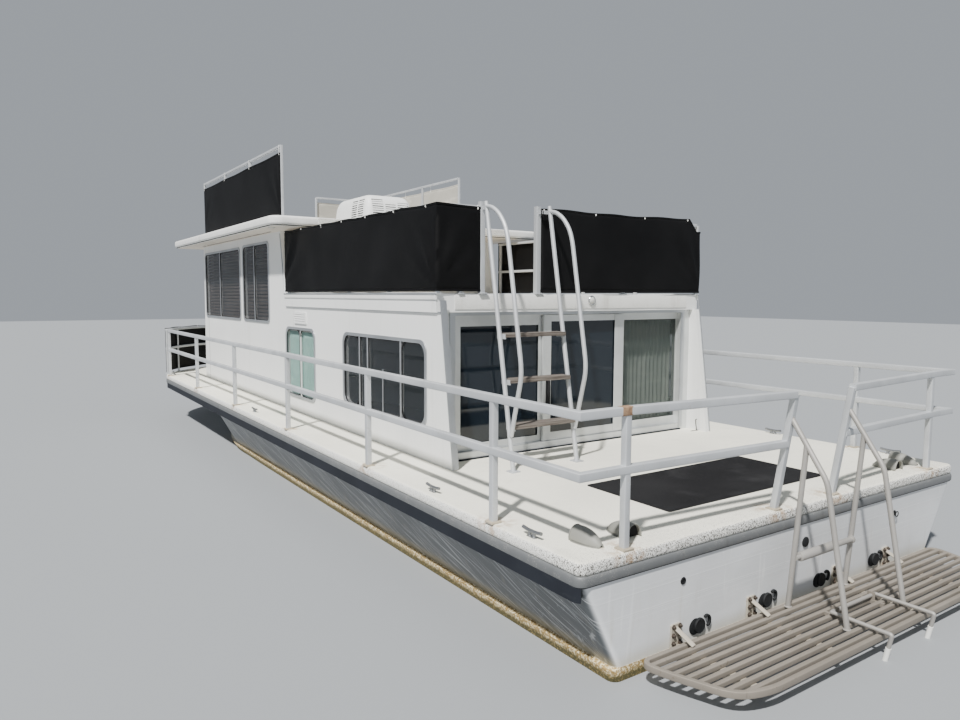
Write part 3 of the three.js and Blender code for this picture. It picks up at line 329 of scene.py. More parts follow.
@dataclass(frozen=True)
class NonSkid:
    """Cream deck paint with grit, darker flecks on its edges, and rust round the foot plates."""

    name: str
    tint: Colour = (0.86, 0.84, 0.73)
    edge: Colour = (0.80, 0.80, 0.76)
    rust: Colour = (0.34, 0.20, 0.09)
    feet: Pairs = ()

    def build(self) -> bpy.types.Material:
        """Makes the material."""
        b = Bench(self.name)
        patch = b.noise(0.8, 5.0)
        grit = b.cells(260.0)
        fleck = b.noise(210.0, 2.0, rough=0.75)
        top = abs(b.facing("Z")).rising(0.5, 0.85)
        colour = b.mix(patch.rising(0.35, 0.72), self.tint, scaled(self.tint, 0.88))
        colour = b.mix(b.noise(5.0, 4.0).rising(0.56, 0.7) * 0.3, colour, scaled(self.tint, 0.74))
        colour = b.mix(1.0 - top, colour, self.edge)
        stern = b.axis("Y").rising(-5.95, -6.22)
        amount = 0.22 + (1.0 - top) * 0.45 + b.axis("Y").rising(-4.0, -6.1) * 0.25 + stern * 0.35
        coarse = b.noise(127.3, 2.0, rough=0.85)
        thick = (1.0 - top) * (0.035 + stern * 0.045)
        mark = fleck.rising(0.60, 0.64) * 0.8
        mark = mark.either((coarse + thick).rising(0.595, 0.63) * (0.35 + stern * 0.3 + (1.0 - top) * 0.5))
        colour = b.mix(mark * amount.both(1.0), colour, (0.055, 0.050, 0.042))
        if self.feet:
            where = self._folded(b)
            near: Value = 0.0
            for x, y in self.feet:
                away = b.node("ShaderNodeVectorMath", {"operation": "DISTANCE"},
                              {0: where, 1: (x, y, 0.775)}, out="Value")
                near = away.rising(0.20, 0.06).either(near)
            stain = near * b.noise(17.0, 4.0).rising(0.42, 0.62)
            colour = b.mix(stain * 0.6, colour, self.rust)
        return b.finish(Base_Color=colour, Roughness=0.80 + patch * 0.1,
                        Normal=b.bump(grit + fleck * 0.5, 0.0016, 0.55))

    @staticmethod
    def _folded(b: Bench) -> Wire:
        """The point with its starboard side folded on to port."""
        parts = b.node("ShaderNodeSeparateXYZ", None, {0: b.place()})
        return b.node("ShaderNodeCombineXYZ", None, {"X": abs(parts), "Y": b.axis("Y"), "Z": b.axis("Z")})


@dataclass(frozen=True)
class Metal:
    """Bare or dull metal with grain, dull patches and stains."""

    name: str
    tint: Colour = (0.62, 0.64, 0.66)
    stain: Colour = (0.30, 0.27, 0.22)
    roughness: float = 0.38
    stained: float = 0.25
    metallic: float = 0.85
    growth: bool = False

    def build(self) -> bpy.types.Material:
        """Makes the material."""
        b = Bench(self.name)
        broad = b.noise(3.0, 4.0)
        grain = b.noise(60.0, 3.0, (1.0, 1.0, 0.12))
        spot_mask = b.noise(26.0, 4.0, rough=0.65).rising(0.60, 0.72)
        colour = b.mix(broad.rising(0.3, 0.7), self.tint, scaled(self.tint, 0.82))
        colour = b.mix(spot_mask * self.stained, colour, self.stain)
        if self.growth:
            colour = b.mix(b.axis("Z").rising(0.03, -0.03) * 0.8, colour, (0.20, 0.16, 0.06))
        rough = self.roughness + broad * 0.14 + spot_mask * self.stained * 0.5
        metallic = self.metallic - spot_mask * self.stained * 0.8
        return b.finish(Base_Color=colour, Roughness=rough, Metallic=metallic,
                        Normal=b.bump(grain * 0.5 + spot_mask, 0.0004, 0.4))


@dataclass(frozen=True)
class Cloth:
    """Woven cloth with threads, creases of dust and faded patches."""

    name: str
    tint: Colour = (0.014, 0.014, 0.016)
    faded: Colour = (0.032, 0.032, 0.036)
    threads: float = 900.0
    roughness: float = 0.78
    sheen: float = 0.5
    dusty: float = 0.25

    def build(self) -> bpy.types.Material:
        """Makes the material."""
        b = Bench(self.name)
        across = (b.axis("X") + b.axis("Y")) * self.threads
        up = b.axis("Z") * self.threads
        weave = across.sine() * up.sine()
        patch = b.noise(1.6, 4.0)
        dust = b.noise(1.0, 5.0, (3.0, 3.0, 8.0)).rising(0.5, 0.8)
        colour = b.mix(patch.rising(0.35, 0.75), self.tint, self.faded)
        colour = b.mix(dust * self.dusty, colour, scaled(self.faded, 2.4, 0.01))
        return b.finish(Base_Color=colour, Roughness=self.roughness - weave * 0.05, Specular_IOR_Level=self.sheen,
                        Normal=b.bump(weave + b.noise(40.0) * 1.5, 0.0006, 0.4))


@dataclass(frozen=True)
class Glazing:
    """Tinted glass with a film of dust."""

    name: str
    tint: Colour = (0.012, 0.016, 0.020)
    alpha: float = 0.62

    def build(self) -> bpy.types.Material:
        """Makes the material."""
        b = Bench(self.name)
        smear = b.noise(2.4, 5.0, (1.0, 1.0, 0.5))
        dust = b.noise(70.0, 3.0).rising(0.55, 0.75)
        colour = b.mix(smear * 0.6, self.tint, scaled(self.tint, 1.8, 0.006))
        return b.finish(Base_Color=colour, Roughness=0.03 + smear * 0.05 + dust * 0.03, Alpha=self.alpha + smear * 0.08)


@dataclass(frozen=True)
class Moulding:
    """Rubber, plastic or fibre with scuffs."""

    name: str
    tint: Colour = (0.02, 0.023, 0.028)
    scuff: Colour = (0.16, 0.17, 0.18)
    roughness: float = 0.55
    worn: float = 0.4
    grit: float = 140.0
    depth: float = 0.0006
    shine: float = 0.5

    def build(self) -> bpy.types.Material:
        """Makes the material."""
        b = Bench(self.name)
        broad = b.noise(2.2, 4.0)
        mark = b.noise(1.0, 6.0, (22.0, 5.0, 22.0), 0.7).rising(0.58, 0.72)
        grain = b.noise(self.grit, 3.0)
        colour = b.mix(broad.rising(0.3, 0.8), self.tint, scaled(self.tint, 1.35, 0.004))
        colour = b.mix(mark * self.worn, colour, self.scuff)
        return b.finish(Base_Color=colour, Roughness=self.roughness + broad * 0.15, Specular_IOR_Level=self.shine,
                        Normal=b.bump(grain + mark * 0.5, self.depth, 0.5))


@dataclass(frozen=True)
class Timber:
    """Weathered wood with grain along the boat's width."""

    name: str
    tint: Colour = (0.075, 0.06, 0.05)
    pale: Colour = (0.18, 0.158, 0.137)

    def build(self) -> bpy.types.Material:
        """Makes the material."""
        b = Bench(self.name)
        grain = b.noise(1.0, 6.0, (5.0, 90.0, 90.0), 0.65)
        broad = b.noise(9.0, 3.0)
        colour = b.mix(grain.rising(0.38, 0.66), self.tint, self.pale)
        colour = b.mix(broad.rising(0.5, 0.8) * 0.5, colour, scaled(self.tint, 0.5))
        return b.finish(Base_Color=colour, Roughness=0.72 + grain * 0.15, Normal=b.bump(grain, 0.0015, 0.6))


@dataclass(frozen=True)
class Corroded:
    """Rusted steel."""

    name: str
    tint: Colour = (0.24, 0.13, 0.07)
    bright: Colour = (0.45, 0.27, 0.13)

    def build(self) -> bpy.types.Material:
        """Makes the material."""
        b = Bench(self.name)
        crust = b.noise(55.0, 5.0, rough=0.7)
        colour = b.mix(crust.rising(0.4, 0.62), self.tint, self.bright)
        colour = b.mix(b.noise(16.0).rising(0.55, 0.7) * 0.6, colour, (0.36, 0.34, 0.31))
        return b.finish(Base_Color=colour, Roughness=0.82 - crust * 0.1, Normal=b.bump(crust, 0.002, 0.7))


RAIL_X = 2093.0
SIDE_POSTS = (851, 2679, 4664, 6684, 8753, 10802)
STERN_POST = (1753.0, 46.0)
GATE_FOOT = (345.0, 49.0)
STAINED_FEET = tuple((x / 1000, (y - AMIDSHIPS) / 1000)
                     for x, y in (*((RAIL_X, y) for y in SIDE_POSTS), STERN_POST, GATE_FOOT))


class Finish(Enum):
    """The finishes on the boat."""

    GELCOAT = Gelcoat("white_gelcoat")
    ROOF = Gelcoat("roof_moulding", (0.81, 0.81, 0.79), dirt=0.5, speckled=True)
    SHROUD = Gelcoat("unit_shroud", (0.82, 0.83, 0.82), dirt=0.25, gloss=0.42)
    FASCIA = Gelcoat("pale_fascia", (0.80, 0.80, 0.77), (0.36, 0.33, 0.28), 0.5, 0.5, True)
    SOFFIT = Gelcoat("soffit_board", (0.70, 0.64, 0.56), (0.30, 0.21, 0.15), 0.9, 0.55)
    TOPSIDES = Topsides("topsides")
    DECK = NonSkid("deck_nonskid", feet=STAINED_FEET)
    ROOF_DECK = NonSkid("roof_nonskid", (0.74, 0.68, 0.55))
    LIP = Gelcoat("gunwale_moulding", (0.118, 0.124, 0.128), (0.05, 0.048, 0.043), 0.8, 0.42, True)
    ALUMINIUM = Metal("dull_aluminium", (0.60, 0.62, 0.64), roughness=0.5, metallic=0.5)
    TRIM = Metal("window_trim", (0.50, 0.52, 0.54), roughness=0.33, stained=0.15)
    PALE_FRAME = Metal("pale_frame", (0.66, 0.68, 0.68), roughness=0.42, metallic=0.55, stained=0.12)
    PLATFORM = Metal("platform_bars", (0.25, 0.222, 0.186), (0.10, 0.08, 0.055), 0.60, 0.6, 0.25, True)
    STAIR = Metal("stair_tube", (0.40, 0.385, 0.36), (0.22, 0.18, 0.13), 0.50, 0.5, 0.45, True)
    STAINLESS = Metal("stainless", (0.66, 0.67, 0.68), roughness=0.2, stained=0.12, metallic=1.0)
    CLEAT = Metal("cleat_steel", (0.30, 0.31, 0.32), (0.14, 0.12, 0.10), 0.35, 0.5, 0.9)
    FOOT_PLATE = Metal("foot_plate", (0.50, 0.44, 0.34), (0.30, 0.19, 0.10), 0.55, 0.8, 0.3)
    BRONZE = Metal("bronze", (0.42, 0.30, 0.14), (0.10, 0.16, 0.11), 0.4, 0.4, 0.9)
    ENGINE = Metal("engine_paint", (0.16, 0.18, 0.20), (0.05, 0.05, 0.05), 0.5, 0.3, 0.3)
    CANVAS = Cloth("black_canvas", (0.002, 0.002, 0.0024), (0.0045, 0.0045, 0.005), roughness=0.62, sheen=0.14,
                   dusty=0.06)
    # Painted shade: the beige cloth's tint is darkened, as that panel is in shade.
    BEIGE = Cloth("beige_backing", (0.36, 0.345, 0.30), (0.43, 0.41, 0.36), 700.0, 0.85)
    TEAL = Cloth("teal_curtain", (0.36, 0.60, 0.54), (0.46, 0.68, 0.61), 500.0, 0.8)
    DRAPE = Cloth("pale_drape", (0.46, 0.52, 0.465), (0.54, 0.59, 0.54), 500.0, 0.85)
    CARPET = Cloth("mat_pile", (0.011, 0.011, 0.012), (0.018, 0.018, 0.019), 1300.0, 0.95, 0.1, 0.3)
    GLASS = Glazing("tinted_glass", alpha=0.34)
    GALLEY_GLASS = Glazing("galley_glass", (0.02, 0.05, 0.045), 0.18)
    DOOR_GLASS = Glazing("door_glass", (0.006, 0.010, 0.015), 0.88)
    DRAPE_GLASS = Glazing("drape_glass", (0.02, 0.03, 0.028), 0.38)
    LENS = Glazing("lamp_lens", (0.55, 0.55, 0.52), 0.75)
    RUBBER = Moulding("black_strip", (0.008, 0.010, 0.015), (0.05, 0.055, 0.062), 0.6, 0.25, shine=0.25)
    GASKET = Moulding("window_gasket", (0.009, 0.009, 0.010), worn=0.1, roughness=0.7, shine=0.2)
    FLAP = Moulding("exhaust_flap", (0.009, 0.010, 0.011), (0.06, 0.055, 0.05), 0.6, 0.4, shine=0.25)
    BRACKET = Metal("bracket_paint", (0.40, 0.365, 0.30), (0.20, 0.11, 0.06), 0.6, 0.95, 0.1)
    BOLT = Metal("bracket_bolt", (0.055, 0.042, 0.032), (0.17, 0.09, 0.05), 0.7, 0.8, 0.1)
    VENT = Moulding("grey_vent", (0.20, 0.20, 0.18), (0.10, 0.095, 0.09), 0.5, 0.35)
    WHITE_PLASTIC = Moulding("white_plastic", (0.74, 0.74, 0.71), (0.40, 0.38, 0.33), 0.45, 0.3)
    BLIND = Moulding("brown_blind", (0.14, 0.112, 0.095), (0.21, 0.175, 0.15), 0.6, 0.3)
    FLOORING = Moulding("sheet_flooring", (0.26, 0.20, 0.14), (0.16, 0.12, 0.09), 0.5, 0.2)
    TREAD = Timber("ladder_tread")
    RUST = Corroded("rusty_steel", (0.20, 0.12, 0.07), (0.34, 0.22, 0.13))

    @functools.cache
    def material(self) -> bpy.types.Material:
        """The finish's material, built once."""
        return self.value.build()


SLOTS = {name: slot for slot, names in {
    "aluminium": "ALUMINIUM CLEAT PALE_FRAME STAINLESS STAIR TRIM VENT",
    "beige": "BEIGE BLIND DRAPE TEAL",
    "bronze": "BRONZE",
    "canvas": "CANVAS",
    "gelcoat": "FASCIA GELCOAT ROOF WHITE_PLASTIC",
    "glass": "GALLEY_GLASS GLASS LENS",
    "lip": "LIP",
    "mat": "CARPET",
    "nonskid": "DECK ROOF_DECK",
    "platform": "BRACKET PLATFORM TREAD",
    "rubber": "FLAP GASKET RUBBER",
    "topsides": "TOPSIDES",
    "unit": "SHROUD",
}.items() for name in names.split()}


# Shapes: sizes in millimetres, paths in the frame's metres


class Lay(Enum):
    """Which way an outline lies in the boat."""

    FLAT = "plan, thick upwards"
    SIDE = "seen from the side, thick to starboard"
    END = "seen from the end, thick forwards"

    def point(self, u: float, v: float, w: float) -> Vector:
        """Places an outline's two coordinates and a depth."""
        if self is Lay.FLAT:
            return spot(u, v, w)
        return spot(w, u, v) if self is Lay.SIDE else spot(u, w, v)


def rounded(u0: float, u1: float, v0: float, v1: float, r: float, steps: int = 6) -> Outline:
    """An outline of a rectangle with round corners, counterclockwise.

    Args:
        u0, u1, v0, v1: the sides.
        r: corner radius.
        steps: points along a corner.
    Returns:
        The outline.
    """
    corners = ((u1 - r, v0 + r, -90), (u1 - r, v1 - r, 0), (u0 + r, v1 - r, 90), (u0 + r, v0 + r, 180))
    return [(cu + r * cos(radians(start + 90 * k / steps)),
             cv + r * sin(radians(start + 90 * k / steps)))
            for cu, cv, start in corners for k in range(steps + 1)]


def circle(radius: float, sides: int = 16) -> Outline:
    """A round section."""
    return [(radius * cos(tau * k / sides), radius * sin(tau * k / sides)) for k in range(sides)]


def bar(wide: float, high: float, edge: float = 4.0) -> Outline:
    """A rectangular section with softened edges."""
    return rounded(-wide / 2, wide / 2, -high / 2, high / 2, edge, 3)


def bend(points: Sequence[Vector], radius: float, steps: int = 6) -> list[Vector]:
    """Rounds the inner corners of a path.

    Args:
        points: the path.
        radius: how far before and after a corner the bend reaches.
        steps: points in each bend.
    Returns:
        The rounded path.
    """
    path = [points[0]]
    for before, corner, after in zip(points, points[1:], points[2:]):
        back, on = before - corner, after - corner
        reach = min(radius / 1000, back.length * 0.48, on.length * 0.48)
        start, end = corner + back.normalized() * reach, corner + on.normalized() * reach
        for k in range(steps + 1):
            t = k / steps
            path.append(start * (1 - t) ** 2 + corner * 2 * t * (1 - t) + end * t ** 2)
    return path + [points[-1]]


def through(points: Sequence[Sequence[float]], steps: int) -> list[tuple[float, ...]]:
    """Points along a smooth curve through the given ones.

    Args:
        points: what the curve passes through, of any dimension.
        steps: points in each span.
    Returns:
        The curve's points.
    """
    rows = [points[0], *points, points[-1]]
    curve: list[tuple[float, ...]] = []
    for a, b, c, d in zip(rows, rows[1:], rows[2:], rows[3:]):
        for k in range(steps):
            t = k / steps
            curve.append(tuple(
                0.5 * (2 * q + (r - p) * t + (2 * p - 5 * q + 4 * r - s) * t ** 2 + (3 * q - p - 3 * r + s) * t ** 3)
                for p, q, r, s in zip(a, b, c, d)))
    return curve + [tuple(points[-1])]


def offset(path: Sequence[tuple[float, float]], distance: float, closed: bool = False) -> Outline:
    """A plan path moved sideways, to the left of its run when the distance is positive.

    Args:
        path: the plan points.
        distance: how far.
        closed: whether the last point joins the first.
    Returns:
        The moved path.
    """
    moved: Outline = []
    n = len(path)
    for i, (x, y) in enumerate(path):
        before = path[i - 1] if i or closed else path[0]
        after = path[(i + 1) % n] if i + 1 < n or closed else path[-1]
        a, b = Vector((x - before[0], y - before[1])), Vector((after[0] - x, after[1] - y))
        u = (a if a.length > 1e-9 else b).normalized()
        v = (b if b.length > 1e-9 else a).normalized()
        normal = Vector((-u.y - v.y, u.x + v.x)).normalized()
        reach = distance / max(0.5, normal.dot(Vector((-u.y, u.x))))
        moved.append((x + normal.x * reach, y + normal.y * reach))
    return moved


def spaced(path: Sequence[tuple[float, float]], gap: float) -> list[tuple[float, float, float]]:
    """Plan points at even spaces along a path, with the distance run; the path's corners are kept."""
    found: list[tuple[float, float, float]] = []
    run = 0.0
    for (x0, y0), (x1, y1) in zip(path, path[1:]):
        length = hypot(x1 - x0, y1 - y0)
        count = max(1, round(length / gap))
        found += [(x0 + (x1 - x0) * k / count, y0 + (y1 - y0) * k / count, run + length * k / count)
                  for k in range(count)]
        run += length
    return found + [(*path[-1], run)]


def level(path: Iterable[tuple[float, float]], z: float) -> list[Vector]:
    """A plan path at one height."""
    return [spot(x, y, z) for x, y in path]


class Form:
    """Points and faces gathered for one piece."""

    def __init__(self) -> None:
        """Starts with nothing."""
        self.points: list[Vector] = []
        self.faces: list[tuple[int, ...]] = []
        self.slots: list[int] = []
        self.slot = 0

    def use(self, slot: int) -> "Form":
        """Gives what is added next another of the piece's finishes."""
        self.slot = slot
        return self

    def _add(self, points: Iterable[Vector], faces: Iterable[Sequence[int]]) -> None:
        """Adds points and the faces between them."""
        first = len(self.points)
        self.points.extend(Vector(p) for p in points)
        for face in faces:
            self.faces.append(tuple(first + i for i in face))
            self.slots.append(self.slot)

    def loft(self, rings: Sequence[Sequence[Vector]], closed: bool = False, capped: bool = True,
             open_ring: bool = False) -> "Form":
        """A skin over rings of the same number of points.

        Args:
            rings: the rings, in order.
            closed: whether the last ring joins the first.
            capped: whether the end rings are filled.
            open_ring: whether each ring is an open line.
        Returns:
            The form.
        """
        n, count = len(rings[0]), len(rings)
        faces: list[Sequence[int]] = []
        for r in range(count if closed else count - 1):
            s = (r + 1) % count
            for i in range(n - 1 if open_ring else n):
                j = (i + 1) % n
                faces.append((r * n + i, r * n + j, s * n + j, s * n + i))
        if capped and not closed:
            faces += [tuple(range(n)), tuple((count - 1) * n + i for i in reversed(range(n)))]
        self._add([p for ring in rings for p in ring], faces)
        return self

    def sweep(self, path: Sequence[Vector], section: Outline, up: Vector = UP, closed: bool = False) -> "Form":
        """A section carried along a path with mitred corners.

        Args:
            path: the points.
            section: its points, sideways and along up.
            up: the section's second direction at the start.
            closed: whether the path joins up.
        Returns:
            The form.
        """
        n = len(path)
        ahead = [(path[(i + 1) % n] - path[i]).normalized() for i in range(n)]
        if not closed:
            ahead[-1] = ahead[-2]
        before = ahead[-1] if closed else ahead[0]
        side = before.cross(up).normalized()
        rise = side.cross(before)
        rings = []
        for point, after in zip(path, ahead):
            across = (before + after).normalized()
            arms = [(side * a + rise * b) / 1000 for a, b in section]
            rings.append([point + arm - before * (arm.dot(across) / before.dot(across)) for arm in arms])
            turn = before.rotation_difference(after)
            side, rise, before = turn @ side, turn @ rise, after
        return self.loft(rings, closed)

    def tube(self, path: Sequence[Vector], radius: float, bent: float = 0.0, sides: int = 16) -> "Form":
        """A round tube along a path, with bends of a radius."""
        run = bend(path, bent) if bent else list(path)
        straight = (run[1] - run[0]).normalized()
        return self.sweep(run, circle(radius, sides), FORWARD if abs(straight.z) > 0.9 else UP)

    def _fill(self, loops: Sequence[Outline], lay: Lay, depth: float) -> None:
        """Fills between an outline and its holes."""
        flat = [[Vector((u, v, 0)) for u, v in loop] for loop in loops]
        self._add([lay.point(p.x, p.y, depth) for loop in flat for p in loop], tessellate_polygon(flat))

    def _walls(self, loop: Outline, lay: Lay, low: float, high: float) -> None:
        """Adds the walls along an outline."""
        self.loft([[lay.point(u, v, w) for u, v in loop] for w in (low, high)], capped=False)

    def prism(self, outer: Outline, lay: Lay, low: float, high: float, holes: Sequence[Outline] = ()) -> "Form":
        """A plate of any outline with holes.

        Args:
            outer: its outline.
            lay: which way it lies.
            low, high: where its thickness starts and ends.
            holes: the holes' outlines.
        Returns:
            The form.
        """
        for depth in (low, high):
            self._fill([outer, *holes], lay, depth)
        for loop in (outer, *holes):
            self._walls(loop, lay, low, high)
        return self

    def slab(self, outer: Outline, rim: Sequence[Sequence[float]], holes: Sequence[Outline] = (),
             under: int | None = None) -> "Form":
        """A level plate with a shaped rim.

        Args:
            outer: its outline, counterclockwise.
            rim: the height of each level, from the lowest, and how far it stands in from the outline.
            holes: the holes' outlines.
            under: the finish of its underside, if another one.
        Returns:
            The form.
        """
        self.loft([level(offset(outer, inset, True), z) for z, inset in rim], capped=False)
        (low, first), (high, last) = rim[0], rim[-1]
        top = self.slot
        self._fill([offset(outer, last, True), *holes], Lay.FLAT, high)
        self.use(top if under is None else under)._fill([offset(outer, first, True), *holes], Lay.FLAT, low)
        for loop in holes:
            self.use(top)._walls(loop, Lay.FLAT, low, high)
        return self.use(top)

    def block(self, x0: float, x1: float, y0: float, y1: float, z0: float, z1: float, edge: float = 0.0) -> "Form":
        """A box, its upright edges rounded by edge."""
        outer = rounded(x0, x1, y0, y1, edge, 3) if edge else [(x0, y0), (x1, y0), (x1, y1), (x0, y1)]
        return self.prism(outer, Lay.FLAT, z0, z1)

    def lathe(self, profile: Sequence[tuple[float, float]], centre: Vector, axis: Vector, sides: int = 20) -> "Form":
        """A turned form.

        Args:
            profile: radius and distance along the axis, from one end to the other.
            centre: where the distance is 0.
            axis: the direction it is turned about.
            sides: points round it.
        Returns:
            The form.
        """
        axis = axis.normalized()
        side = axis.cross(UP if abs(axis.z) < 0.9 else STARBOARD).normalized()
        other = axis.cross(side)
        rings = [[centre + (axis * h + (side * cos(a) + other * sin(a)) * max(r, 0.1)) / 1000
                  for a in (tau * k / sides for k in range(sides))] for r, h in profile]
        return self.loft(rings)

    def bolt(self, at: Vector, axis: Vector, r: float = 6.0) -> "Form":
        """A domed bolt head on its washer."""
        return self.lathe([(r * 1.5, -1), (r * 1.5, r * 0.25), (r, r * 0.3), (r * 0.95, r * 0.8), (r * 0.4, r)],
                          at, axis, 10)

    def foot(self, x: float, y: float, z: float, half: float, thick: float, post: float) -> "Form":
        """A post's foot plate with four bolts and the weld round the post."""
        self.block(x - half, x + half, y - half, y + half, z, z + thick, half * 0.15)
        inset = half * 0.70
        for a in (-inset, inset):
            for b in (-inset, inset):
                self.bolt(spot(x + a, y + b, z + thick), UP, half * 0.10)
        bead = [spot(x + a * post / 2, y + b * post / 2, z + thick) for a, b in ((-1, -1), (1, -1), (1, 1), (-1, 1))]
        return self.sweep(bead, circle(post * 0.08, 8), closed=True)

    def rake(self, slope: float) -> "Form":
        """Moves every point forward by its height above the deck times a slope."""
        for p in self.points:
            p.y += (p.z - DECK_TOP / 1000) * slope
        return self

    def make(self, name: str, *finishes: Finish, body: str = BOAT, slot: str = "", smooth: float = 38.0,
             edge: float = 0.0, thick: float = 0.0, replaces: Sequence[str] = ()) -> bpy.types.Object:
        """Makes the piece and hangs it on its body.

        Args:
            name: the piece's name.
            finishes: the piece's finishes.
            body: the body that it rides on.
            slot: a slot name, looked up from the first finish when empty; not used.
            smooth: edges sharper than this many degrees stay crisp.
            edge: width of softened edges.
            thick: thickness given to a sheet.
            replaces: the nodes that it stands for.
        Returns:
            The piece.
        """
        mesh = bpy.data.meshes.new(name)
        mesh.from_pydata([tuple(p) for p in self.points], [], self.faces)
        mesh.polygons.foreach_set("material_index", self.slots)
        work = bmesh.new()
        work.from_mesh(mesh)
        bmesh.ops.remove_doubles(work, verts=work.verts, dist=1e-6)
        bmesh.ops.recalc_face_normals(work, faces=work.faces)
        work.to_mesh(mesh)
        work.free()
        for finish in finishes:
            mesh.materials.append(finish.material())
        piece = bpy.data.objects.new(name, mesh)
        bpy.context.scene.collection.objects.link(piece)
        if thick:
            piece.modifiers.new("thickness", "SOLIDIFY").thickness = thick / 1000
        soften(piece, edge)
        mesh.shade_smooth()
        mesh.set_sharp_from_angle(angle=radians(smooth))
        slot = slot or SLOTS[finishes[0].name]
        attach(piece, body)
        if replaces:
            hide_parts(*replaces)
        LOG.info("piece %s on %s, %d faces", name, body, len(mesh.polygons))
        return piece


def soften(piece: bpy.types.Object, edge: float) -> None:
    """Rounds a piece's sharp edges with a modifier, if edge isn't 0."""
    if edge:
        bevel = piece.modifiers.new("edges", "BEVEL")
        bevel.width = edge / 1000
        bevel.segments = 2
        bevel.limit_method = "ANGLE"
        bevel.angle_limit = radians(40)
        bevel.use_clamp_overlap = True


def dress(nodes: Iterable[str], finish: Finish, edge: float = 0.0) -> None:
    """Gives CAD nodes their finish and soft edges.

    Args:
        nodes: the nodes' names.
        finish: what they are finished in.
        edge: width of softened edges.
    """
    for name in nodes:
        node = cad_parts[name]
        node.data.materials.clear()
        node.data.materials.append(finish.material())
        soften(node, edge)
        LOG.info("node %s in %s", name, finish.name.lower())


def both_sides(*names: str) -> list[str]:
    """Each name with the port and the starboard ending."""
    return [f"{name}_{side}" for name in names for side, _ in SIDES]


def beside(s: int, depths: tuple[float, float]) -> list[float]:
    """Two distances from the centreline taken to one side, the lower first."""
    return sorted(s * depth for depth in depths)


def gather(names: tuple[str, str], finish: Finish, rings: Sequence[Sequence[Vector]], high: float,
           ends: Sequence[Vector], radius: float) -> None:
    """Hangs a gathered cloth from a rod.

    Args:
        names: the cloth's name and the rod's.
        finish: what the cloth is made of.
        rings: the cloth's rows of points, from the rod down.
        high: the cloth's height; not used.
        ends: the rod's ends.
        radius: the rod's radius.
    """
    cloth = Form().loft(rings, capped=False, open_ring=True).make(names[0], finish, thick=1, smooth=80)
    rail = Form().tube(ends, radius).make(names[1], Finish.WHITE_PLASTIC)
    high / 1000


# Hull and deck

HALF_BEAM = 2134.0
DECK_TOP = 775.0
ON_DECK = DECK_TOP + 0.3
BOW_EDGE = ((2134, 10950), (2070, 11200), (1850, 11560), (1500, 11930), (1100, 12250), (600, 12520), (220, 12635),
            (0, 12660))
CORNER = 60.0
WELL: Outline = [(-1440, 2520), (1440, 2520), (1440, 8500), (1290, 9300), (880, 10080), (-880, 10080), (-1290, 9300),
                 (-1440, 8500)]
HATCH: Outline = [(-1440, 2520), (1440, 2520), (1440, 10080), (-1440, 10080)]


def bow_curve(points: Sequence[tuple[float, float]]) -> Outline:
    """The bow's edge from starboard round to port, smooth."""
    return through([*points, *((-x, y) for x, y in reversed(points[:-1]))], 4)


def deck_plan(aft: float = -12.0) -> Outline:
    """The deck's outline, counterclockwise, from its stern edge."""
    arc = [(HALF_BEAM - CORNER + CORNER * cos(a), aft + CORNER + CORNER * sin(a))
           for a in (radians(-90 + 10 * k) for k in range(10))]
    stern = [(-x, y) for x, y in reversed(arc)] + arc
    return [*stern, *bow_curve(BOW_EDGE)]


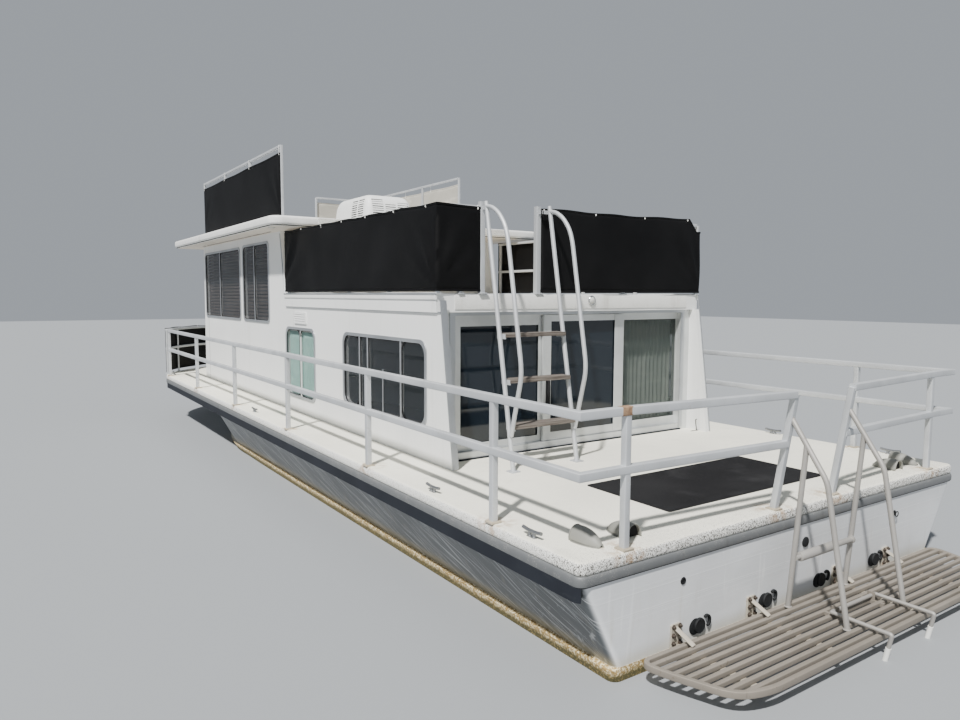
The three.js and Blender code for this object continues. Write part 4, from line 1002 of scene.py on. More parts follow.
@dataclass
class Hull:
    """The hull below the deck, with a ledge along the waterline, round stern corners and the cabin well."""

    stations: tuple[tuple[float, ...], ...] = (
        (0, -300, 1600, -150, 1845, 79, 2105), (1600, -360, 1640, -170, 1845, 79, 2112),
        (3500, -400, 1660, -180, 1845, 79, 2115), (5500, -400, 1650, -170, 1845, 79, 2115),
        (6900, -390, 1600, -140, 1845, 80, 2115), (7800, -370, 1470, -100, 1835, 90, 2085),
        (8700, -330, 1230, -40, 1610, 120, 1970), (9600, -260, 930, 40, 1240, 180, 1730),
        (10400, -130, 600, 140, 840, 270, 1400), (11100, 60, 290, 260, 450, 370, 1000),
        (11700, 330, 90, 420, 170, 480, 560), (12100, 560, 15, 590, 40, 610, 170))
    sheer: float = 639.0
    rake: float = 30.0
    ledge: tuple[float, float] = (32.0, 0.15)
    sole: float = 200.0

    def _ring(self, station: Sequence[float], turn: float = 90.0) -> list[Vector]:
        """One section, from the port sheer under the keel to the starboard sheer.

        Args:
            station: a row of the stations.
            turn: how far round the stern corner it lies, in degrees.
        Returns:
            The section's points.
        """
        y, keel, chine, chine_z, mid, mid_z, sheer = station
        tuck = CORNER * (1 - sin(radians(turn)))
        y += CORNER * (1 - cos(radians(turn))) if turn < 90 else 0
        step = min(self.ledge[0], self.ledge[1] * mid)
        foot, strip = mid - step, (mid + (chine - mid) * 0.08, mid_z + (chine_z - mid_z) * 0.35)
        swell = ((strip[0] + chine) / 2 + 10, (strip[1] + chine_z) / 2 - 6)
        half = [(sheer, self.sheer), (foot + 4, mid_z + 14), (foot + step * 0.2, mid_z + 7),
                (mid - step * 0.2, mid_z + 2), (mid, mid_z - 5), *through([strip, swell, (chine, chine_z)], 3)]
        half = [(x - tuck, z) for x, z in half]
        line = [(-x, z) for x, z in half] + [(0.0, keel)] + list(reversed(half))
        lean = max(0.0, 1 - y / 600) * self.rake / (self.sheer - 80)
        return [spot(x, y + lean * (self.sheer - z), z) for x, z in line]

    def build(self) -> None:
        """Makes the hull."""
        form = Form()
        first, *curve = through(self.stations, 6)
        form.loft([self._ring(first, 9.0 * k) for k in range(10)] + [
            self._ring((CORNER, *first[1:]))] + [self._ring(s) for s in curve], open_ring=True)
        side = [(first[6] - CORNER, 0.0), (first[6], CORNER), *((s[6], s[0]) for s in curve)]
        plan = side + [(-x, y) for x, y in reversed(side)]
        form.use(1).prism(offset(plan, 8, True), Lay.FLAT, 600, self.sheer - 1, [WELL])
        liner = offset(WELL, -30, True)
        form.prism(liner, Lay.FLAT, self.sole, self.sheer - 2, [WELL])
        form.prism(liner, Lay.FLAT, self.sole - 20, self.sole - 0.2)
        form.make("hull_shell", Finish.TOPSIDES, Finish.GELCOAT, smooth=28, replaces=("hull",))


@dataclass
class DeckEdge:
    """The deck, the grey moulding under it with a dark line of painted shadow below it, and the black strip round each
    side and stern corner.
    """

    moulding: Pairs = ((640, 7), (641, 2), (645, 0), (678, 0), (690, 2.5), (697, 8), (699.7, 16))
    deck: Pairs = ((700, 17), (703, 12), (710, 8.5), (722, 7), (740, 7.3), (755, 9), (763, 12), (770, 18),
                   (773.5, 24), (DECK_TOP, 33))
    strip: tuple[float, float, float] = (2125.0, 56.5, 552.0)
    strip_section: Pairs = ((-7, 2), (-5, 0.4), (4, 0), (58, 6), (40, 30), (7, 87.7), (-5, 87.2), (-7, 85))
    fwd: float = 10900.0

    def build(self) -> None:
        """Makes the deck and its edge."""
        Form().slab(deck_plan(), self.moulding, [HATCH]).make("gunwale_moulding", Finish.LIP, replaces=("gunwale",))
        Form().slab(deck_plan(), self.deck, [HATCH]).make("deck_plate", Finish.DECK, replaces=("deck",))
        # Painted shadow: a thin dark line under the moulding stands in for the shadow of its lip.
        shadow_line_path = level(offset(deck_plan(), 13, True), 636)
        Form().sweep(shadow_line_path, bar(8, 9, 3), closed=True).make("lip_shadow_line", Finish.GASKET)
        x, y, low = self.strip
        for side, s in SIDES:
            turns = [radians(10 * k) for k in range(4 if s < 0 else 9, 10)]
            path = [spot(s * (x - CORNER + CORNER * sin(a)), y - CORNER * cos(a), low) for a in turns]
            path += [spot(s * x, y + k * (self.fwd - y) / 12, low) for k in range(1, 13)]
            section = [(-s * u, v) for u, v in self.strip_section]
            Form().sweep(path, section).make(f"side_strip_{side}", Finish.RUBBER, replaces=(f"rub_band_{side}",))
        dress(["cabin_sole"], Finish.FLOORING)
        dress(both_sides("engine"), Finish.ENGINE, 12)


# Cabin


@dataclass(frozen=True)
class Opening:
    """One window in a cabin side."""

    name: str
    aft: float
    fwd: float
    low: float
    high: float
    corner: float
    mullions: tuple[float, ...] = ()
    half_bars: Pairs = ()


SIDE_WINDOWS = (
    Opening("pilot_fwd", 8073, 10105, 1848, 2868, 70, (9189,)),
    Opening("pilot_aft", 6750, 7894, 1848, 2882, 70, (7378,)),
    Opening("galley", 5145, 6080, 975, 1785, 110, (5616,)),
    Opening("saloon", 2575, 4300, 1077, 1793, 110, (3912, 3724, 3027), ((3400, 1500),)),
)
FORE_WINDOWS = ((-1440.0, -480.0), (480.0, 1440.0))
CABIN_HALF = 1600.0
ROOF_TOP = 2217.0
STEP_Y = 6080.0
PILOT_LOW = 3000.0
PILOT_TOP = 3118.0
FRONT_Y = 10290.0
FRONT_LEAN = (10209 - FRONT_Y) / (PILOT_LOW - DECK_TOP)
ROOF_GATES = (-1165.0, -560.0)
ROOF_RAIL = (1600.0, 2370.0)
ROOF_RAIL_TOP = 2944.0
PILOT_RAILS = ([(-1680.0, 5915.0), (-1680.0, 9670.0)], [(1372.0, 6750.0), (1372.0, 10150.0), (400.0, 10150.0)])


@dataclass
class Cabin:
    """Walls, roofs, window frames, trims and vents of the cabin."""

    frame_wide: float = 27.5
    frame_depth: tuple[float, float] = (CABIN_HALF, CABIN_HALF + 10.5)
    bar_depth: tuple[float, float] = (1590.0, 1605.5)
    half_bar_depth: tuple[float, float] = (1590.0, 1602.0)
    joint_depth: tuple[float, float] = (1603.0, 1606.5)
    pane_depth: tuple[float, float] = (1589.0, 1594.0)
    gasket_depth: tuple[float, float] = (1594.5, 1602.0)
    vent_depth: tuple[float, float] = (1600.0, 1615.5)
    vent_back: tuple[float, float] = (1606.0, 1611.0)
    fin_foot: tuple[float, float] = (2134.0, DECK_TOP)
    fin_top: tuple[float, float] = (2330.0, 2160.0)
    roof_aft: Pairs = ((-1619, 2365), (-900, 2346), (0, 2339), (900, 2346), (1619, 2365))
    fascia: float = 1474.0
    lean: float = (6264 - STEP_Y) / (PILOT_LOW - 2060)
    pilot_rim: Pairs = ((3000, 46), (3022, 10), (3036, 0), (3088, 0), (3108, 8), (3118, 28))
    vent: tuple[float, float, float, float] = (5387.0, 5775.0, 1861.0, 1994.0)

    def _window(self, s: int, side: str, w: Opening) -> None:
        """Frames one side window, outside and round the glass."""
        r = self.frame_wide
        outer = rounded(w.aft - r, w.fwd + r, w.low - r, w.high + r, (w.corner + r) * 0.85, 10)
        inner = rounded(w.aft + 6, w.fwd - 6, w.low + 6, w.high - 6, w.corner - 6, 10)
        trim = Form().prism(outer, Lay.SIDE, *beside(s, self.frame_depth), [inner])
        for y in w.mullions if w.name != "galley" else ():
            trim.prism(rounded(y - 14, y + 14, w.low, w.high, 3, 2), Lay.SIDE, *beside(s, self.bar_depth))
        for y, top in w.half_bars:
            trim.prism(rounded(y - 6, y + 6, w.low, top, 2, 2), Lay.SIDE, *beside(s, self.half_bar_depth))
        trim.make(f"window_trim_{w.name}_{side}", Finish.TRIM, edge=3)
        if w.name == "galley":
            seam = w.mullions[0]
            joint = Form().prism(rounded(seam - 7, seam + 7, w.low, w.high, 3, 2), Lay.SIDE,
                                 *beside(s, self.joint_depth))
            joint.make(f"galley_joint_{side}", Finish.GASKET)
        pane = rounded(w.aft + 1, w.fwd - 1, w.low + 1, w.high - 1, w.corner, 10)
        Form().prism(pane, Lay.SIDE, *beside(s, self.pane_depth)).make(
            f"window_pane_{w.name}_{side}", Finish.GALLEY_GLASS if w.name == "galley" else Finish.GLASS,
            replaces=(f"glass_{w.name}_{side}",))
        gaskets = Form()
        stops = [w.aft + 1, *(y + d for y in sorted(w.mullions) for d in (-8, 8)), w.fwd - 1]
        if w.name == "galley":
            stops = [w.aft + 1, *(y + d for y in w.mullions for d in (0.2, -0.2)), w.fwd - 1]
        for aft, fwd in zip(stops[::2], stops[1::2]):
            ends = [w.corner if end in (stops[0], stops[-1]) else 12.0 for end in (aft, fwd)]
            corner = max(ends) * 0.9
            lip = rounded(aft + 11, fwd - 11, w.low + 12, w.high - 12, min(corner, (fwd - aft) / 2 - 18) - 5, 8)
            gaskets.prism(rounded(aft, fwd, w.low + 1, w.high - 1, min(corner, (fwd - aft) / 2 - 2), 8), Lay.SIDE,
                          *beside(s, self.gasket_depth), [lip])
        gaskets.make(f"window_gasket_{w.name}_{side}", Finish.GASKET)

    def _edges(self, s: int, side: str) -> None:
        """Adds the roof's side trims, the fin's cap and the wall's joint strip."""
        x = s * (CABIN_HALF + 1)
        Form().sweep([spot(s * 1621.8, 2357, 2196), spot(s * 1621.8, STEP_Y + 1.5, 2196)], bar(15, 59, 4)).make(
            f"roof_edge_{side}", Finish.GELCOAT)
        trim = Form()
        trim.sweep([spot(s * 1627, 2356, 2213), spot(s * 1627, STEP_Y + 1.5, 2213)], bar(12, 19, 5))
        line = [spot(x, 2318, 2060), spot(x, 6066, 2060), spot(x, 6098, 2090), spot(x, 6098 + 880 * self.lean, 2970)]
        trim.sweep(line, bar(16, 16, 4))
        trim.make(f"roof_trim_{side}", Finish.TRIM)
        cap = Form()
        half = 31 if s < 0 else 6
        ends = ((self.fin_foot[0] - 5, 785.0), (self.fin_top[0] - 5, self.fin_top[1]))
        foot, top = (spot(s * (1606 - half), y, z) for y, z in ends)
        cap.sweep([foot, top], bar(10, 2 * half, 3), STARBOARD)
        for k in range(7):
            cap.bolt(foot.lerp(top, 0.05 + 0.15 * k) - FORWARD * 0.005, -FORWARD, 4.0)
        cap.make(f"fin_cap_{side}", Finish.TRIM)
        Form().block(*beside(s, (CABIN_HALF - 1, CABIN_HALF + 1.5)), 9995, 10003, 780, 1820).make(
            f"wall_joint_{side}", Finish.VENT, slot="gelcoat")

    def _vent(self, s: int, side: str) -> None:
        """Adds the louvred wall vent."""
        form = Form()
        aft, fwd, low, high = self.vent
        form.prism(rounded(aft - 2, fwd + 2, low - 2, high + 2, 4, 3), Lay.SIDE, *beside(s, self.vent_depth),
                   [rounded(aft + 18, fwd - 18, low + 13, high - 13, 6, 3)])
        form.prism(rounded(aft + 16, fwd - 16, low + 11, high - 11, 6, 3), Lay.SIDE, *beside(s, self.vent_back))
        pitch = (high - low - 30) / 4
        for k in range(1, 5):
            z = low + 15 + pitch * k
            hood = [(0, 6), (3, 7.5), (7, 6), (13, -8), (11.5, -9), (5, -2), (0, -3)]
            path = [spot(s * 1610, aft + 17, z), spot(s * 1610, fwd - 17, z)]
            form.sweep(path, [(s * u * 0.55, v) for u, v in hood])
        form.make(f"wall_vent_{side}", Finish.GELCOAT)

    def _roof(self) -> None:
        """Adds the fascia, the walked-on roof panel and the pilothouse roof, with a dark line of painted shade along
        its lower edge.
        """
        dress(["main_roof"], Finish.GELCOAT, 8)
        edge = [(x, y - 3) for x, y in through(self.roof_aft, 6) if abs(x) <= self.fascia]
        Form().sweep(level(edge, 2144), bar(5, 122, 2)).make("roof_fascia", Finish.FASCIA)
        Form().block(-1560, 1560, 2410, 6030, ROOF_TOP - 1, ROOF_TOP + 1.2, 60).make("roof_walk", Finish.ROOF_DECK)
        plan = rounded(-1960, 1960, 5490, 10850, 150, 8)
        form = Form().slab(plan, through(self.pilot_rim, 3), under=1)
        form.make("pilothouse_roof", Finish.ROOF, Finish.SOFFIT, replaces=("pilot_roof",))
        slots = Form()
        for x in (-1668.0, 1668.0):
            for k in range(9):
                slots.block(x - 11, x + 11, 6420 + 400 * k, 6770 + 400 * k, 2996.5, 3001, 4)
        slots.make("soffit_slots", Finish.BLIND)
        Form().block(-1395, 1395, 5484, 5493, 3030, 3108, 3).make("roof_aft_edge", Finish.ROOF_DECK)
        # Painted shade: a dark line along the pilothouse roof's lower edge.
        rim = level(offset(plan, 29, True), PILOT_LOW + 10)
        Form().sweep(rim, bar(12, 12, 4), closed=True).make("roof_edge_shade_line", Finish.GASKET)

    def build(self) -> None:
        """Makes the cabin's outside."""
        dress([*both_sides("cabin_side"), "cabin_front", "step_bulkhead", "fore_door"], Finish.GELCOAT, 4)
        dress(both_sides("glass_fore"), Finish.GLASS)
        for side, s in SIDES:
            for w in SIDE_WINDOWS:
                self._window(s, side, w)
            self._edges(s, side)
            self._vent(s, side)
        self._roof()
        self._front()

    def _front(self) -> None:
        """Frames the windows beside the fore door and gives the door its lever."""
        for (x0, x1), (side, _) in zip(FORE_WINDOWS, SIDES):
            form = Form().prism(rounded(x0 - 26, x1 + 26, 1822, 2876, 66), Lay.END, FRONT_Y, FRONT_Y + 9,
                                [rounded(x0 + 5, x1 - 5, 1853, 2845, 36)])
            form.rake(FRONT_LEAN).make(f"fore_window_trim_{side}", Finish.TRIM, edge=3)
        lever = Form()
        y = FRONT_Y + (1640 - DECK_TOP) * FRONT_LEAN
        lever.block(-290, -262, y, y + 8, 1560, 1720, 4)
        lever.tube([spot(-276, y + 4, 1650), spot(-276, y + 42, 1650), spot(-170, y + 42, 1650)], 8, 16)
        lever.make("fore_door_lever", Finish.STAINLESS, body="fore_door_leaf")
        kick = Form().prism(rounded(-280, 280, 830, 1040, 12), Lay.END, FRONT_Y - 1, FRONT_Y + 2.5)
        kick.rake(FRONT_LEAN).make("fore_door_kick_plate", Finish.TRIM, body="fore_door_leaf")


@dataclass
class Blinds:
    """Brown slatted blinds in the pilothouse windows and cloth in the galley's."""

    pitch: float = 50.0
    slat: float = 44.0
    reach: float = 60.0
    cloth_x: float = CABIN_HALF - 32

    def _slats(self, name: str, start: Vector, end: Vector, low: float, high: float, out: Vector) -> None:
        """Hangs one blind between two upper ends."""
        form = Form()
        arc = [(-self.slat / 2 + self.slat * k / 4, 3 * sin(pi * k / 4)) for k in range(5)]
        section = [(u * 0.35 - v, u * 0.94 + v * 0.3) for u, v in arc]
        section += [(u + 0.8, v) for u, v in reversed(section)]
        count = int((high - low) / self.pitch)
        for k in range(count):
            z = (high - 8 - k * self.pitch) / 1000
            form.sweep([Vector((start.x, start.y, z)), Vector((end.x, end.y, z))], section)
        along = (end - start).normalized()
        for t in (0.12, 0.5, 0.88):
            p = start.lerp(end, t) + out * 0.012
            form.sweep([Vector((p.x, p.y, low / 1000)), Vector((p.x, p.y, high / 1000))], bar(3, 9, 1), along)
        form.make(name, Finish.BLIND)

    def build(self) -> None:
        """Hangs the blinds and the galley's cloth."""
        for side, s in SIDES:
            x = s * (CABIN_HALF - self.reach)
            for w in SIDE_WINDOWS[:2]:
                self._slats(f"blind_{w.name}_{side}", spot(x, w.aft - 20, 0), spot(x, w.fwd + 20, 0), w.low - 20,
                            w.high + 10, STARBOARD * s)
            self._curtain(s, side, SIDE_WINDOWS[2])
        for (x0, x1), (side, _) in zip(FORE_WINDOWS, SIDES):
            self._slats(f"blind_fore_{side}", spot(x0 - 20, 10165, 0), spot(x1 + 20, 10165, 0), 1830, 2862, FORWARD)

    def _curtain(self, s: int, side: str, w: Opening) -> None:
        """Hangs a gathered cloth behind one window."""
        wide, high = w.fwd - w.aft - 24, w.high - w.low - 36
        columns, rows = 120, 10
        rings = []
        for r in range(rows + 1):
            z = w.high - 24 - high * r / rows
            rings.append([spot(s * self.cloth_x + 4 * sin(k * 0.9 + 0.7 * sin(k * 0.21)),
                               w.aft + 12 + wide * k / columns + 2 * sin(r * 0.6 + k * 0.3), z)
                          for k in range(columns + 1)])
        ends = [spot(s * self.cloth_x, y, w.high - 20) for y in (w.aft + 4, w.fwd - 4)]
        gather((f"galley_curtain_{side}", f"curtain_rod_{side}"), Finish.TEAL, rings, high, ends, 5)


@dataclass
class SternDoor:
    """The stern door's frame, sliding leaf, tracks and lock."""

    low: float = 840.0
    top: float = 2030.0
    panes: Pairs = ((-1325.0, -470.0), (628.0, 1407.0))
    pane_heights: Pairs = ((902.0, 1934.0), (922.0, 1962.0))
    handle_x: float = -387.0
    leaf_face: float = 2412.0
    drape_y: float = 2545.0
    rod_z: float = 2040.0

    def _drape(self) -> None:
        """Hangs a pale gathered drape behind the starboard pane."""
        columns, rows, wide, high = 110, 8, 860.0, 1180.0
        rings = [[spot(560 + wide * k / columns, self.drape_y + 9 * sin(k * 0.8 + 0.6 * sin(k * 0.17)),
                       self.rod_z - 4 - high * r / rows) for k in range(columns + 1)] for r in range(rows + 1)]
        ends = [spot(x, self.drape_y, self.rod_z) for x in (545, 1432)]
        gather(("door_drape", "door_drape_rod"), Finish.DRAPE, rings, high, ends, 6)

    def build(self) -> None:
        """Dresses the frame and the leaf and adds their fittings."""
        dress(["stern_door_frame", "door_leaf"], Finish.PALE_FRAME, 2.5)
        dress(["glass_fixed_port", "glass_leaf"], Finish.DOOR_GLASS)
        dress(["glass_fixed_starboard"], Finish.DRAPE_GLASS)
        tracks = Form()
        for y in (2404, 2414, 2450, 2492, 2504):
            tracks.block(-1405, 1405, y, y + 2.5, self.low - 1, self.low + 5)
        tracks.block(-1470, 1470, 2388, 2400, 2030, 2058, 3)
        for x in (-1440, 1440):
            tracks.block(x - 28, x + 28, 2391, 2400, 800, 2030, 4)
        tracks.make("door_tracks", Finish.TRIM, edge=1)
        rails = Form()
        for (x0, x1), (z0, z1) in zip(self.panes, self.pane_heights):
            rails.prism([(x0 - 90, 842), (x1 + 90, 842), (x1 + 90, 2030), (x0 - 90, 2030)], Lay.END, 2451, 2458,
                        [rounded(x0, x1, z0, z1, 4, 2)])
        rails.make("pane_rails", Finish.PALE_FRAME, edge=2)
        Form().block(465, 588, self.leaf_face, self.leaf_face + 5.8, 850, 2020, 3).make(
            "leaf_stile", Finish.PALE_FRAME, body="stern_door", edge=2)
        # Painted shade: a dark strip on the deck along the door's foot, for the shadowed gap under the sill.
        Form().block(-1440, 1440, 2384, 2399, 775.4, 788, 3).make("door_foot_shade", Finish.RUBBER)
        self._drape()
        x, y = self.handle_x, self.leaf_face
        lock = Form().block(x - 18, x + 18, y, y + 6.2, 1130, 1433, 6)
        lock.tube([spot(x, y + 8, 1154), spot(x, y - 23, 1154), spot(x, y - 23, 1409), spot(x, y + 8, 1409)], 12, 5)
        lock.lathe([(13, 0), (13, 4), (9, 6)], spot(x, y, 1282), -FORWARD)
        lock.make("door_lock", Finish.GASKET, body="stern_door")


# Rails and cloth


@dataclass
class DeckRails:
    """Square tube rails round the side decks and the stern."""

    x: float = RAIL_X
    top: float = 1567.0
    mid: float = 1234.0
    tube: float = 50.0
    post: float = 44.0
    posts: tuple[float, ...] = SIDE_POSTS
    stern: tuple[float, float] = STERN_POST
    gate: tuple[float, float, float] = (*GATE_FOOT, -75.0)
    rusty: tuple[float, float] = (-1806.0, -1728.0)

    def gate_y(self, z: float) -> float:
        """How far aft the leaning gate post stands at a height."""
        return self.gate[1] + (self.gate[2] - self.gate[1]) * (z - DECK_TOP) / 817

    def build(self) -> None:
        """Makes both sides."""
        square, upright = bar(self.tube, self.tube, 7), bar(self.post, self.post, 6)
        for side, s in SIDES:
            form = Form()
            x, (stern_x, stern_y) = s * self.x, self.stern
            for z in (self.top, self.mid):
                path = [(s * self.gate[0], self.gate_y(z)), (s * stern_x, stern_y), (x, stern_y), (x, self.posts[-1])]
                form.sweep(level(path, z), square)
            for a, b in [(x, y) for y in self.posts] + [(s * stern_x, stern_y)]:
                form.use(0).sweep([spot(a, b, 781), spot(a, b, self.top)], upright, FORWARD)
                form.use(1).foot(a, b, ON_DECK, 41, 8, self.post)
            gate_x, foot_y = s * self.gate[0], self.gate[1]
            form.use(0).sweep([spot(gate_x, foot_y, 781), spot(gate_x, self.gate_y(self.top), self.top)], upright,
                              FORWARD)
            form.use(1).foot(gate_x, foot_y, ON_DECK, 41, 8, self.post)
            if s < 0:
                sleeve = bar(self.tube + 3, self.tube + 3, 7)
                form.use(2).sweep([spot(a, stern_y, self.top) for a in self.rusty], sleeve)
            form.make(f"side_rail_{side}", Finish.ALUMINIUM, Finish.FOOT_PLATE, Finish.RUST,
                      replaces=(f"deck_rail_{side}",))


BOW_RAIL_PATH = offset(bow_curve(((2134, 11090), *BOW_EDGE[1:])), 55)


@dataclass
class BowRail:
    """The bow's rail, on slim posts."""

    top: float = 1567.0
    mid: float = 1234.0
    tube: float = 40.0
    post: float = 27.0
    near: Pairs = ((2134, 11090), (1850, 11560), (1100, 12250), (220, 12635))

    def build(self) -> None:
        """Makes the rail."""
        path = BOW_RAIL_PATH
        form = Form()
        for z in (self.top, self.mid):
            form.sweep(level(path, z), bar(self.tube, self.tube, 6))
        for px, py in self.near:
            for s in (-1, 1):
                x, y = min(path, key=lambda p: hypot(p[0] - s * px, p[1] - py))
                form.sweep([spot(x, y, 781), spot(x, y, self.top)], bar(self.post, self.post, 4), FORWARD)
                form.foot(x, y, ON_DECK, 40, 8, self.post)
        form.make("bow_rail_bars", Finish.ALUMINIUM, replaces=("bow_rail",))


@dataclass
class RoofRails:
    """Rails round the roof deck and on the pilothouse roof."""

    x: float = ROOF_RAIL[0]
    aft: float = ROOF_RAIL[1]
    fwd: float = 5990.0
    top: float = ROOF_RAIL_TOP
    tube: float = 32.0
    gate_post: float = 48.0
    gates: tuple[float, float] = ROOF_GATES
    posts: tuple[float, ...] = (3250, 4150, 5050, 5960)
    pilot_top: float = 3985.0
    pilot_tube: float = 30.0

    def _post(self, form: Form, x: float, y: float, low: float, high: float, size: float) -> None:
        """Adds one post with its foot plate."""
        form.sweep([spot(x, y, low + 2), spot(x, y, high)], bar(size, size, 4), FORWARD)
        form.foot(x, y, low + 0.3, size * 0.95, 5, size)

    def build(self) -> None:
        """Makes the four rails."""
        for (side, s), gate in zip(SIDES, self.gates):
            form = Form()
            x = s * self.x
            for z in (self.top, ROOF_TOP + 330):
                path = bend([spot(gate, self.aft, z), spot(x, self.aft, z), spot(x, self.fwd, z)], 40)
                form.sweep(path, bar(self.tube, self.tube, 5))
            for a, b in [(x, y) for y in self.posts] + [(x, self.aft), ((x + gate) / 2, self.aft)]:
                self._post(form, a, b, ROOF_TOP, self.top, self.tube)
            self._post(form, gate, self.aft, ROOF_TOP, 2995, self.gate_post)
            form.make(f"roof_rail_bars_{side}", Finish.ALUMINIUM, replaces=(f"roof_rail_{side}",))
        for (side, _), path in zip(SIDES, PILOT_RAILS):
            form = Form()
            (x, aft), (_, fwd), *rest = path
            posts = [(x, aft + (fwd - aft) * k / 3) for k in range(4)] + rest
            for z in (self.pilot_top, self.pilot_top - 440):
                form.sweep(bend(level(path, z), 60), bar(self.pilot_tube, self.pilot_tube, 5))
            for a, b in posts:
                self._post(form, a, b, PILOT_TOP, self.pilot_top, self.pilot_tube)
            form.make(f"pilot_rail_bars_{side}", Finish.ALUMINIUM, replaces=(f"pilot_rail_{side}",))


@dataclass
class Canvas:
    """One panel of cloth laced outside a rail."""

    node: str
    path: Outline
    low: float
    high: float
    finish: Finish
    out: int
    rail: str
    tie_z: float
    tops: Pairs = ()
    corners: tuple[float, ...] = ()
    folds: float = 3.2
    ties: float = 620.0

    def _bulge(self, run: float, t: float, length: float) -> float:
        """How far the cloth stands off its plane."""
        drift = sin(run / 310 + 2.3 * sin(t * 2.1 + run / 900)) + 0.6 * sin(run / 127 - t * 5.0)
        drag = exp(-((run % self.ties) / self.ties - 0.5) ** 2 * 9) * sin(t * pi) * 1.4
        ends = min(1.0, run / 60, (length - run) / 60)
        pull = 0.0
        for corner in self.corners:
            far = abs(run - corner)
            turn = atan2(t * (self.high - self.low), far + 40)
            pull += exp(-far / 420) * (1 + sin(turn * 13)) * min(1.0, far / 90) * sin(pi * t) * 2.2
        return self.folds * ((1.6 + drift + drag) * (1 - 0.6 * t) + pull) * (0.25 + 0.75 * ends)

    def _top(self, run: float) -> float:
        """The height of the upper edge at a distance along the cloth."""
        for (r0, z0), (r1, z1) in zip(self.tops, self.tops[1:]):
            if r0 <= run <= r1:
                return z0 + (z1 - z0) * (run - r0) / (r1 - r0)
        return self.tops[-1][1] if self.tops else self.high

    def build(self) -> None:
        """Makes the cloth, its hems, eyelets and ties."""
        columns = spaced(self.path, 30)
        length, rows = columns[-1][2], 16
        rings = []
        for r in range(rows + 1):
            t = r / rows
            shift = [self._bulge(run, t, length) for _, _, run in columns]
            moved = []
            for i, (x, y, run) in enumerate(columns):
                ax, ay, _ = columns[max(0, i - 1)]
                bx, by, _ = columns[min(len(columns) - 1, i + 1)]
                size = hypot(bx - ax, by - ay)
                nx, ny = -(by - ay) / size * self.out, (bx - ax) / size * self.out
                top = self._top(run) - 8 * abs(sin(pi * run / self.ties)) ** 2
                moved.append(spot(x + nx * (shift[i] - 3), y + ny * (shift[i] - 3), self.low + (top - self.low) * t))
            rings.append(moved)
        form = Form().loft(rings, capped=False, open_ring=True)
        cloth = form.make(f"{self.node}_cloth", self.finish, thick=2.0, smooth=80, replaces=(self.node,))
        hem = Form()
        for ring, inset in ((rings[0], 9), (rings[-1], -9)):
            hem.sweep([p + UP * inset / 1000 for p in ring], rounded(-4, 4, -10, 10, 3.5, 3))
        seams = hem.make(f"{self.node}_hem", self.finish, smooth=60)
        eyes = Form()
        count = max(2, round(length / self.ties))
        for k in range(count + 1):
            p = min(range(len(columns)), key=lambda i: abs(columns[i][2] - (20 + (length - 40) * k / count)))
            self._tie(eyes, rings[-1][p], columns[p])
        ties = eyes.make(f"{self.node}_ties", Finish.WHITE_PLASTIC)
        length / 1000
        (self.high - self.low) / 1000

    def _tie(self, form: Form, at: Vector, column: tuple[float, float, float]) -> None:
        """Adds one eyelet with a white tie to the rail."""
        eye = at - UP * 0.014
        centre = spot(column[0], column[1], self.tie_z)
        form.lathe([(4, -6), (8, -5), (8, 5), (4, 6)], eye, (centre - eye).cross(UP).cross(UP) or FORWARD, 12)
        form.tube([eye, eye.lerp(centre, 0.5) + UP * 0.006, centre + UP * 0.017], 2.8, sides=8)
        form.lathe([(2, -5), (7, -2), (7, 3), (2, 6)], eye - UP * 0.006, UP, 8)


def canvas_panels() -> list[Canvas]:
    """The five panels, each just outside its rail's tube and clear of the gate posts."""
    off_roof, off_pilot, off_bow, off_gate, fwd = 21.6, 20.6, 25.6, 24.3, 6050.0
    x, aft = ROOF_RAIL[0] + off_roof, ROOF_RAIL[1] - off_roof
    port = [(-x, fwd), (-x, aft), (ROOF_GATES[0] - off_gate, aft)]
    starboard = [(x, fwd), (x, aft), (ROOF_GATES[1] + off_gate, aft)]
    bow = offset(BOW_RAIL_PATH, -off_bow)
    side_run = fwd - aft
    pilot_port = [(a - off_pilot, b) for a, b in PILOT_RAILS[0]]
    (right, start), (_, front), (left, _) = PILOT_RAILS[1]
    pilot_starboard = [(right + off_pilot, start), (right + off_pilot, front + off_pilot), (left, front + off_pilot)]
    return [
        Canvas("canvas_bow", bow, 820, 1604, Finish.CANVAS, -1, "bow_rail_bars", 1567),
        Canvas("canvas_roof_port", port, 2237, 2974, Finish.CANVAS, -1, "roof_rail_bars_port",
               ROOF_RAIL_TOP,
               ((0, 2985), (side_run, 2960), (side_run + 500, 2954)), (0, side_run), 7.0),
        Canvas("canvas_roof_starboard", starboard, 2237, 2974, Finish.CANVAS, 1,
               "roof_rail_bars_starboard", ROOF_RAIL_TOP,
               ((0, 2974), (side_run - 250, 2940), (side_run, 2880), (side_run + 60, 2878), (side_run + 178, 3010),
                (side_run + 1086, 2986)), (0, side_run), 7.0),
        Canvas("canvas_pilot_port", pilot_port, 3148, 3905, Finish.CANVAS, 1,
               "pilot_rail_bars_port", 3982, corners=(0, 3755), ties=1250),
        Canvas("canvas_pilot_starboard", pilot_starboard, 3148, 3905,
               Finish.BEIGE, -1, "pilot_rail_bars_starboard", 3982, ties=850),
    ]


# Roof fittings and stern gear


